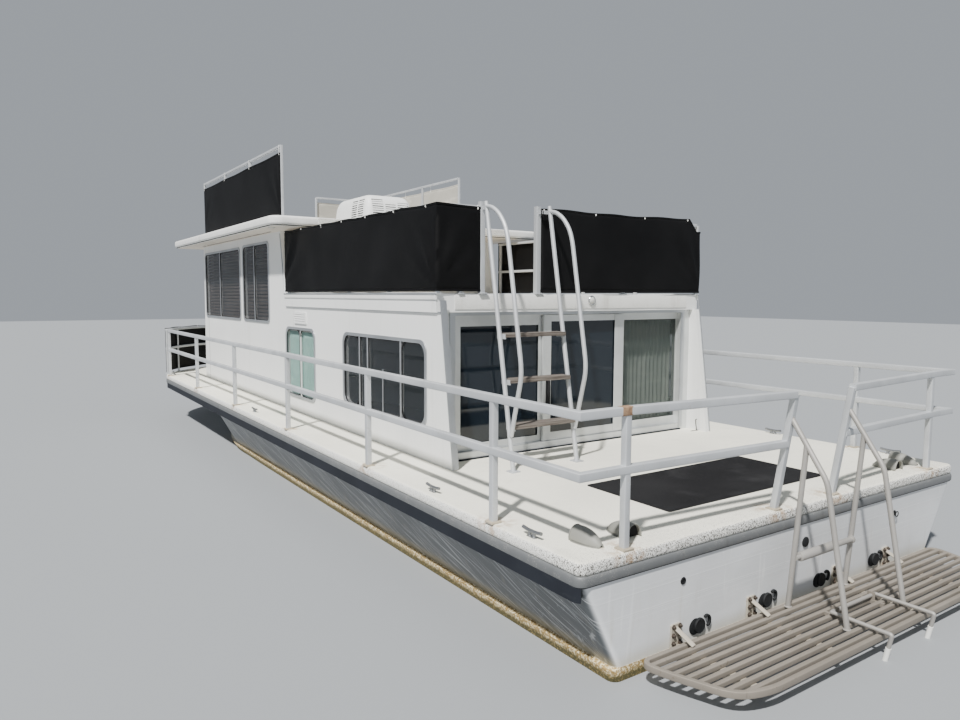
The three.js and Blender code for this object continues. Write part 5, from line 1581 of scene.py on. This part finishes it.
@dataclass
class RoofUnit:
    """The white shroud of the roof unit, with louvres in three groups aft and two on the port side, their openings dark
    strips of painted shade.
    """

    x: float = -20.0
    y: float = 6880.0
    half: float = 362.0
    length: float = 1150.0
    base: float = 3118.3
    profile: Pairs = ((0, 0.97), (50, 1.0), (200, 0.99), (310, 0.96), (385, 0.91), (438, 0.82), (460, 0.70),
                      (466, 0.55))
    aft_groups: tuple[tuple[float, float, int], ...] = ((-270, -105, 11), (-75, 85, 9), (115, 280, 10))
    port_groups: tuple[tuple[float, float, int], ...] = ((-440, -270, 11), (-230, -60, 11))
    lowest: float = 86.0
    pitch: float = 30.0

    def _share(self, height: float) -> float:
        """How wide the shroud stands at a height, as a share of its widest."""
        for (h0, k0), (h1, k1) in zip(self.profile, self.profile[1:]):
            if h0 <= height <= h1:
                return k0 + (k1 - k0) * (height - h0) / (h1 - h0)
        return self.profile[-1][1]

    def build(self) -> None:
        """Makes the shroud, its louvre lips over dark strips of painted shade for the openings, and the dark joint
        round its foot.
        """
        plan = rounded(-self.half, self.half, -self.length / 2, self.length / 2, 90, 8)
        rings = [[spot(self.x + u * k, self.y + v * k, self.base + h) for u, v in plan]
                 for h, k in through(self.profile, 4)]
        Form().loft(rings).make("unit_shroud", Finish.SHROUD, replaces=("air_conditioner",))
        # Painted shade: each louvre opening is a thin dark strip laid on the shroud under its lip.
        slots, lips = Form(), Form()
        groups = [(True, g) for g in self.aft_groups] + [(False, g) for g in self.port_groups]
        for is_aft, (start, end, rows) in groups:
            for k in range(rows):
                h = self.lowest + self.pitch * k
                reach = (self.length / 2 if is_aft else self.half) * self._share(h)
                for form, drop, out, section in ((slots, 0, 0.5, bar(3, 13, 1)), (lips, 9, 2.5, bar(7, 5, 2))):
                    z = self.base + h + drop
                    fixed = (self.y if is_aft else self.x) - reach - out
                    ends = ([(self.x + v, fixed) for v in (start, end)] if is_aft
                            else [(fixed, self.y + v) for v in (start, end)])
                    form.sweep(level(ends, z), section)
        slots.make("unit_louvre_shade", Finish.GASKET)
        lips.make("unit_louvre_lips", Finish.SHROUD)
        skirt = [spot(self.x + u, self.y + v, self.base + 4) for u, v in plan]
        Form().sweep(skirt, bar(14, 10, 3), closed=True).make("unit_skirt", Finish.GASKET)


@dataclass
class RoofLadder:
    """The slanting ladder to the roof, with brown treads and bent grab rails."""

    port_foot: tuple[float, float, float] = (-1205, 1836, 775)
    port_top: tuple[float, float, float] = (-1165, 2302, 2990)
    star_foot: tuple[float, float, float] = (-515, 1846, 775)
    star_top: tuple[float, float, float] = (-478, 2302, 2995)
    treads: tuple[float, ...] = (1148, 1517, 1890)
    gates: tuple[float, float] = ROOF_GATES

    def _on(self, foot: Sequence[float], top: Sequence[float], z: float, aft: float = 0.0) -> Vector:
        """A point on a stringer's line at a height, moved aft."""
        t = (z - foot[2]) / (top[2] - foot[2])
        return spot(foot[0] + (top[0] - foot[0]) * t, foot[1] + (top[1] - foot[1]) * t - aft, z)

    def build(self) -> None:
        """Makes the metalwork and the treads."""
        form = Form()
        sides = ((self.port_foot, self.port_top, 1), (self.star_foot, self.star_top, -1))
        for (foot, top, inward), gate in zip(sides, self.gates):
            form.tube([self._on(foot, top, 781), self._on(foot, top, top[2])], 19.5)
            grab = [(2950, 0), (2935, 80), (2880, 165), (2775, 235), (2660, 255), (1640, 255), (1540, 235), (1060, 20)]
            form.tube([self._on(foot, top, z, aft) for z, aft in grab], 18.5, 60)
            form.foot(foot[0], foot[1], ON_DECK, 45, 7, 34)
            form.block(min(top[0], gate) - 8, max(top[0], gate) + 8, 2288, 2312, 2925, 2955, 3)
            form.block(gate - 8, gate + 8, 2288, 2345.7, 2925, 2955, 3)
            for z in self.treads:
                p = self._on(foot, top, z) * 1000
                x = p.x + inward * 22
                form.block(x - 4, x + 4, p.y + AMIDSHIPS - 58, p.y + AMIDSHIPS + 58, z - 46, z - 4, 0)
                for d in (-30, 30):
                    form.bolt(spot(x + inward * 4, p.y + AMIDSHIPS + d, z - 22), STARBOARD * inward, 6)
        form.make("roof_ladder_tubes", Finish.ALUMINIUM, replaces=("roof_ladder",))
        boards = Form()
        for z in self.treads:
            a, b = self._on(*sides[0][:2], z) * 1000, self._on(*sides[1][:2], z) * 1000
            y = a.y + AMIDSHIPS
            for aft in (y - 62, y + 2):
                boards.block(a.x + 20, b.x - 20, aft, aft + 60, z - 32, z, 4)
        boards.make("roof_ladder_treads", Finish.TREAD, edge=3)


@dataclass
class BoardingStair:
    """The bent handrails, stringers and round step at the stern gate."""

    x: float = GATE_FOOT[0]
    tube: float = 18.0

    def build(self) -> None:
        """Makes the stair."""
        form = Form()
        for s in (-1, 1):
            x = s * self.x
            form.tube([spot(x, -58, 1405), spot(x, -318, 1036), spot(x, -488, 148)], self.tube, 55)
            form.tube([spot(x, -168, 1240), spot(x, -84, 148)], self.tube)
            for y in (-488, -84):
                form.lathe([(25, -3), (25, 1), (19, 3), (18, 9)], spot(x, y, 145), UP, 16)
        form.lathe([(16, -345), (16, -304), (20, -303), (29, -300), (31, -296), (31, 108), (28, 114), (20, 116),
                    (20, 318), (27, 320), (27, 334), (16, 336), (16, 345)], spot(0, -125, 487), STARBOARD, 24)
        form.make("stair_tubes", Finish.STAIR, replaces=("boarding_stair",))


@dataclass
class SwimPlatform:
    """The slatted stern platform on its rusty brackets."""

    half: float = 1720.0
    aft: float = -650.0
    fwd: float = -42.0
    top: float = 145.0
    rail: float = 31.0
    slat: float = 29.0
    slats: int = 8
    first: float = -582.0
    pitch: float = 66.7
    corner: float = 330.0
    brackets: tuple[float, ...] = (-1334, -605, 390, 1089)
    bolt: Pairs = ((15, -2), (15, 3), (10, 4), (9, 16), (4, 18))

    def _outline(self, grow: float) -> Outline:
        """The frame's outline, counterclockwise, grown by an amount."""
        c = self.corner
        right = [(self.half - c * 1.15, self.aft - grow), (self.half - c * 0.55, self.aft + 70 - grow),
                 (self.half + grow - 40, self.fwd - c * 0.55), (self.half + grow, self.fwd + grow)]
        return [(-x, y) for x, y in reversed(right)] + right

    def build(self) -> None:
        """Makes the frame, the slats, the ladder's lugs and the brackets."""
        form = Form()
        line = self._outline(-self.rail / 2)
        loop = level(line, self.top - 20)
        middle = (loop[-1] + loop[0]) / 2
        form.sweep(bend([middle, *loop, middle], 120)[:-1], bar(self.rail, 40, 5), closed=True)
        for k in range(self.slats):
            y = self.first + self.pitch * k
            reach = self._half_at(line, y)
            form.sweep([spot(-reach, y, self.top - 16), spot(reach, y, self.top - 16)], bar(self.slat, 29, 4))
        for x in (-205, 235):
            form.block(x - 5, x + 5, -356, -304, self.top - 26, 198, 4)
            form.block(x - 12, x + 12, -420, -240, self.top - 26, self.top - 3, 3)
        form.make("platform_bars", Finish.PLATFORM, replaces=("swim_platform",))
        steel = Form()
        for x in self.brackets:
            steel.use(0).block(x - 22, x + 22, self.aft + 60, 4, self.top - 74, self.top - 32, 4)
            steel.prism(rounded(x - 42, x + 42, self.top - 88, self.top + 96, 10), Lay.END, 8, 22)
            steel.sweep([spot(x - 14, 6, self.top + 78), spot(x + 6, -118, self.top + 8)], bar(30, 9, 2), FORWARD)
            steel.prism([(-120, self.top - 74), (14, self.top - 86), (14, self.top - 74)], Lay.SIDE, x - 4, x + 4)
            steel.use(1)
            for a in (-28, 28):
                for b in (-20, 30, 82):
                    steel.lathe(self.bolt, spot(x + a, 8, self.top + b), -FORWARD, 10)
        steel.make("platform_brackets", Finish.BRACKET, Finish.BOLT)

    @staticmethod
    def _half_at(line: Outline, y: float) -> float:
        """Half the frame's width at a distance from the transom."""
        for (x0, y0), (x1, y1) in zip(line, line[1:]):
            if x0 > 0 and min(y0, y1) <= y <= max(y0, y1) and y0 != y1:
                return x0 + (x1 - x0) * (y - y0) / (y1 - y0)
        return line[-1][0]


@dataclass
class SwimLadder:
    """The fold-down ladder hooked over the platform's edge."""

    x: tuple[float, float] = (-250.0, 280.0)
    tube: float = 13.0

    @staticmethod
    def _leg(x: float, z: float) -> Vector:
        """A point on a leg, which slants in below the bend."""
        return spot(x, -712 + 0.2 * (172 - z), z)

    def build(self) -> None:
        """Makes the ladder."""
        form = Form()
        for x in self.x:
            form.tube([spot(x, -330, 172), spot(x, -712, 172), self._leg(x, -145)], self.tube, 15)
        for z in (-20, -140):
            form.tube([self._leg(x, z) for x in self.x], self.tube)
        form.tube([spot(self.x[0], -330, 172), spot(self.x[1], -330, 172)], self.tube)
        form.use(1)
        for x in self.x:
            form.lathe([(14, -12), (15.5, -9), (15.5, 9), (12, 13)], self._leg(x, -145), UP)
            form.tube([self._leg(x, 84), self._leg(x, -8)], 16)
        form.make("swim_ladder_tubes", Finish.STAIR, Finish.WHITE_PLASTIC, body="swim_ladder_body",
                  replaces=("swim_ladder",))


@dataclass
class TransomFittings:
    """Exhaust flaps, outlets and the eye on the transom."""

    flaps: tuple[float, ...] = (-1130, -442, 194, 931)
    flap_z: float = 172.0

    @staticmethod
    def _face(z: float) -> float:
        """How far forward the raked transom stands at a height."""
        return 30 * (640 - z) / 560

    def build(self) -> None:
        """Makes the fittings."""
        form = Form()
        for x in self.flaps:
            centre = spot(x, self._face(self.flap_z), self.flap_z)
            form.lathe([(50, 20), (52, -4), (48, -7), (12, -8)], centre - STARBOARD * 0.020, FORWARD, 28)
            form.lathe([(49, 12), (49, -14), (45, -19), (40, -17), (12, -20)], centre + STARBOARD * 0.014, FORWARD, 28)
            hook = [centre + Vector((0.078 + 0.030 * sin(a), -0.012, 0.018 + 0.034 * cos(a)))
                    for a in (radians(-40 + 26 * k) for k in range(9))]
            form.sweep(hook, bar(15, 17, 4), -FORWARD)
        form.lathe([(34, 4), (36, 0), (36, -8), (24, -14)], spot(-28, self._face(499), 499), FORWARD, 24)
        form.make("exhaust_flaps", Finish.FLAP)
        metal = Form()
        metal.use(1).lathe([(22, 3), (24, 0), (22, -5), (14, -6), (14, -1), (4, -1)], spot(-1290, self._face(500), 500),
                           FORWARD, 24)
        eye = spot(1184, self._face(502), 502)
        metal.lathe([(22, 3), (22, -4), (12, -8)], eye, FORWARD)
        ring = [eye + Vector((0.020 * cos(a), -0.022, 0.020 * sin(a) - 0.004))
                for a in (tau * k / 16 for k in range(16))]
        metal.sweep(ring, circle(4, 10), FORWARD, closed=True)
        metal.make("transom_outlets", Finish.CLEAT, Finish.FLAP)


@dataclass
class DeckFittings:
    """Cleats, clamshell vents, the mat and the stern light."""

    cleats: Pairs = ((2062, 494), (2050, 1680), (2050, 6003), (2000, 10950))
    cowls: tuple[tuple[float, float, int], ...] = ((-1852, 232, -1), (-1572, 250, 1), (1500, 245, 1), (1800, 245, -1))
    cowl_size: tuple[float, float, float] = (64.0, 212.0, 86.0)
    light: tuple[float, float, float] = (75.0, 2336.0, 2158.0)
    hook_x: float = 1530.0
    cowl_rows: Pairs = ((0, 0.97), (0.3, 1), (0.6, 0.86), (0.85, 0.56), (1, 0.2))

    def build(self) -> None:
        """Makes the fittings."""
        metal = Form()
        for x, y in self.cleats:
            for s in (-1, 1):
                self._cleat(metal, s * x, y)
        metal.make("cleats", Finish.CLEAT)
        self._cowls()
        self._mat()
        x = self.hook_x
        hook = Form().tube([spot(x, 2243, 776), spot(x, 2263, 886), spot(x + 6, 2250, 893)], 4.5, 8, 10)
        hook.lathe([(14, 0), (14, 3), (6, 6)], spot(x, 2243, DECK_TOP), UP, 14)
        hook.tube([spot(1432, 2236, 779), spot(1622, 2236, 779)], 3, sides=8)
        hook.make("deck_hook", Finish.GASKET)
        light = Form()
        at = spot(*self.light)
        light.lathe([(45, 6), (47, 0), (46, -10), (41, -16), (35, -16), (33, -8)], at, FORWARD, 28)
        light.use(1).lathe([(34, -6), (34, -12), (26, -22), (12, -28)], at, FORWARD, 24)
        light.make("stern_light", Finish.STAINLESS, Finish.LENS)
        soffit = Form()
        soffit.lathe([(38, 2), (42, -2), (38, -8), (26, -12), (8, -14)], spot(-1862, 5785, PILOT_LOW), UP, 28)
        soffit.lathe([(30, 2), (33, -2), (28, -6), (10, -7)], spot(-1700, 9666, PILOT_LOW), UP, 24)
        soffit.make("soffit_light", Finish.LENS)

    def _cowls(self) -> None:
        """Adds the grey cowl vents, each open at its tall end, with their flanges and a dark disc of painted shade
        inside each mouth.
        """
        shells, flanges, dark = Form(), Form(), Form()
        half, length, high = self.cowl_size
        for x, y, way in self.cowls:
            rings = [[spot(x + half * k * cos(a), y + length * (t - 0.5) * way,
                           DECK_TOP + max(0.5, high * k * sin(a))) for a in (pi * j / 18 for j in range(19))]
                     for t, k in through(self.cowl_rows, 4)]
            shells.loft(rings, capped=False, open_ring=True)
            # Painted shade: a dark disc just inside each mouth stands in for the unlit inside of the cowl.
            dark.loft([[p + FORWARD * way * d for p in rings[2]] for d in (0.0, 0.004)])
            for end in (0, -1):
                shells.sweep(rings[end][1:-1], circle(2.6, 8), FORWARD * way)
            edge = [(half * k + 9, length * (t - 0.5) * way) for t, k in through(self.cowl_rows, 2)][1:]
            plate = [(x + u, y + v) for u, v in edge] + [(x - u, y + v) for u, v in reversed(edge)]
            flanges.prism(plate, Lay.FLAT, DECK_TOP + 0.3, DECK_TOP + 4)
            for u, v in (edge[2], edge[5]):
                for s in (-1, 1):
                    flanges.bolt(spot(x + s * (u - 4), y + v, DECK_TOP + 4), UP, 3)
        shells.make("cowl_vents", Finish.VENT, thick=3, smooth=50)
        flanges.make("cowl_flanges", Finish.VENT)
        dark.make("cowl_mouth_shade", Finish.GASKET)

    def _cleat(self, form: Form, x: float, y: float) -> None:
        """Adds one cleat, its horns fore and aft."""
        form.block(x - 16, x + 16, y - 42, y + 42, DECK_TOP, DECK_TOP + 5, 12)
        for b in (-20, 20):
            form.lathe([(16, 4), (12, 12), (12, 30)], spot(x, y + b, DECK_TOP), UP, 12)
        form.tube([spot(x, y - 88, DECK_TOP + 42), spot(x, y - 40, DECK_TOP + 35), spot(x, y + 40, DECK_TOP + 35),
                   spot(x, y + 88, DECK_TOP + 42)], 11.5, 20, 12)

    def _mat(self) -> None:
        """Adds the black mat with its bound edge."""
        pile = Form().block(-988, 798, 392, 1178, ON_DECK, 784, 12)
        pile.use(1)
        rim = level(rounded(-995, 805, 385, 1185, 16, 4), 779.5)
        pile.sweep(rim, rounded(-6, 6, -4, 4, 3.5, 3), closed=True)
        pile.make("mat", Finish.CARPET, Finish.GASKET, replaces=("deck_mat",))


# Running gear


@dataclass
class RunningGear:
    """Struts, shaped propellers and rudders under the stern."""

    x: float = 720.0
    prop: tuple[float, float] = (620.0, -470.0)
    slope: float = 0.16
    blades: int = 4
    radius: float = 199.0
    hub: float = 36.0
    shaft_end: float = 2100.0
    rudder_y: float = 300.0
    rudder_ends: tuple[float, float] = (-190.0, 110.0)
    rudder_foot: float = -640.0
    rudder_high: float = 310.0

    def _propeller(self, s: int, side: str) -> None:
        """Makes one propeller with its shaft."""
        form = Form()
        centre = spot(s * self.x, *self.prop)
        axis = Vector((0, 1, self.slope)).normalized()
        form.lathe([(6, -88), (22, -80), (36, -52), (43, -10), (44, 20), (38, 55), (16, 56)], centre, axis, 28)
        end_z = self.prop[1] + (self.shaft_end - self.prop[0]) * self.slope
        form.tube([centre, spot(s * self.x, self.shaft_end, end_z)], 16)
        up = STARBOARD.cross(axis).normalized()
        for b in range(self.blades):
            turn = Matrix.Rotation(tau * b / self.blades, 3, axis)
            radial, around = turn @ STARBOARD, turn @ up
            rings = []
            for k in range(9):
                t = k / 8
                r = self.hub + (self.radius - self.hub) * t
                chord = 70 + 105 * sin(pi * min(1.0, 0.12 + t * 0.80)) if k < 8 else 40
                pitch = atan2(95, r) * s
                chordal = around * cos(pitch) + axis * sin(pitch)
                normal = radial.cross(chordal)
                ring = []
                for j in range(12):
                    a = tau * j / 12
                    ring.append(centre + (radial * (r + 4 * cos(a) * t) + chordal * chord / 2 * cos(a)
                                          + normal * (7 - 4.5 * t) * sin(a)) / 1000)
                rings.append(ring)
            form.loft(rings)
        form.make(f"propeller_blades_{side}", Finish.BRONZE, body=f"propeller_{side}_body",
                  replaces=(f"propeller_{side}",))

    def _rudder(self, s: int, side: str) -> None:
        """Makes one rudder blade with its stock."""
        form = Form()
        x = s * self.x
        rings = []
        for k in range(7):
            t = k / 6
            z = self.rudder_foot + self.rudder_high * t
            aft, fwd = (self.rudder_y + end + 30 * t for end in self.rudder_ends)
            thick = 9 * (1 if 0 < k < 6 else 0.6)
            rings.append([spot(x + thick * sin(a) * (1.15 + 0.5 * cos(a)) * 0.62,
                               (aft + fwd) / 2 + (fwd - aft) / 2 * cos(a), z)
                          for a in (tau * j / 24 for j in range(24))])
        form.loft(rings)
        form.tube([spot(x, self.rudder_y, z) for z in (-420, -190)], 17)
        form.make(f"rudder_blade_{side}", Finish.BRONZE, body=f"rudder_{side}_body", replaces=(f"rudder_{side}",))

    def build(self) -> None:
        """Makes the gear on both sides."""
        dress(both_sides("strut"), Finish.BRONZE, 3)
        for side, s in SIDES:
            self._propeller(s, side)
            self._rudder(s, side)


# Studio


@dataclass
class Studio:
    """The camera at the photo's place, soft light and a pale floor at the waterline."""

    eye: tuple[float, float, float] = (-4.661, -9.110, 2.202)
    yaw: float = 33.93
    pitch: float = -5.09
    roll: float = 0.1975
    lens: float = 27.18

    def _camera(self) -> None:
        """Places the camera."""
        y, t, r = (radians(a) for a in (self.yaw, self.pitch, self.roll))
        right = Vector((cos(y), -sin(y), 0))
        ahead = Vector((sin(y) * cos(t), cos(y) * cos(t), sin(t)))
        up = right.cross(ahead)
        across = right * cos(r) + up * sin(r)
        above = up * cos(r) - right * sin(r)
        data = bpy.data.cameras.new("camera")
        data.lens = self.lens
        data.sensor_width = 36.0
        data.clip_end = 200.0
        camera = bpy.data.objects.new("camera", data)
        camera.matrix_world = Matrix.Translation(Vector(self.eye)) @ Matrix(
            (across, above, -ahead)).transposed().to_4x4()
        bpy.context.scene.collection.objects.link(camera)
        bpy.context.scene.camera = camera

    @staticmethod
    def _lamp(name: str, ray: Vector, strength: float, angle: float, colour: Colour) -> None:
        """Adds one distant lamp."""
        data = bpy.data.lights.new(name, "SUN")
        data.energy = strength
        data.angle = radians(angle)
        data.color = colour
        lamp = bpy.data.objects.new(name, data)
        lamp.rotation_euler = ray.to_track_quat("-Z", "Y").to_euler()
        bpy.context.scene.collection.objects.link(lamp)

    def build(self) -> None:
        """Makes the studio."""
        self._camera()
        self._lamp("key", Vector((0.62, 0.41, -1.0)), 8.0, 2.5, (1.0, 0.98, 0.95))
        world = bpy.data.worlds.new("sky")
        world.use_nodes = True
        ground = world.node_tree.nodes["Background"]
        ground.inputs["Color"].default_value = (0.80, 0.86, 0.94, 1.0)
        ground.inputs["Strength"].default_value = 0.46
        bpy.context.scene.world = world
        plate = bpy.data.meshes.new("floor")
        reach = 60.0
        plate.from_pydata([(-reach, -reach, 0), (reach, -reach, 0), (reach, reach, 0), (-reach, reach, 0)], [],
                          [(0, 1, 2, 3)])
        bench = Bench("floor_paint")
        plate.materials.append(bench.finish(Base_Color=(0.27, 0.285, 0.30), Roughness=0.7))
        floor = bpy.data.objects.new("floor", plate)
        bpy.context.scene.collection.objects.link(floor)


def main() -> None:
    """Builds the boat piece by piece, then the studio."""
    logging.basicConfig(level=logging.INFO, format="%(name)s: %(message)s")
    for part in (Hull(), DeckEdge(), Cabin(), Blinds(), SternDoor(), DeckRails(), BowRail(), RoofRails(),
                 *canvas_panels(), RoofUnit(), RoofLadder(), BoardingStair(), SwimPlatform(), SwimLadder(),
                 TransomFittings(), DeckFittings(), RunningGear(), Studio()):
        LOG.info("building %s", type(part).__name__)
        part.build()


if __name__ == "__main__":
    main()
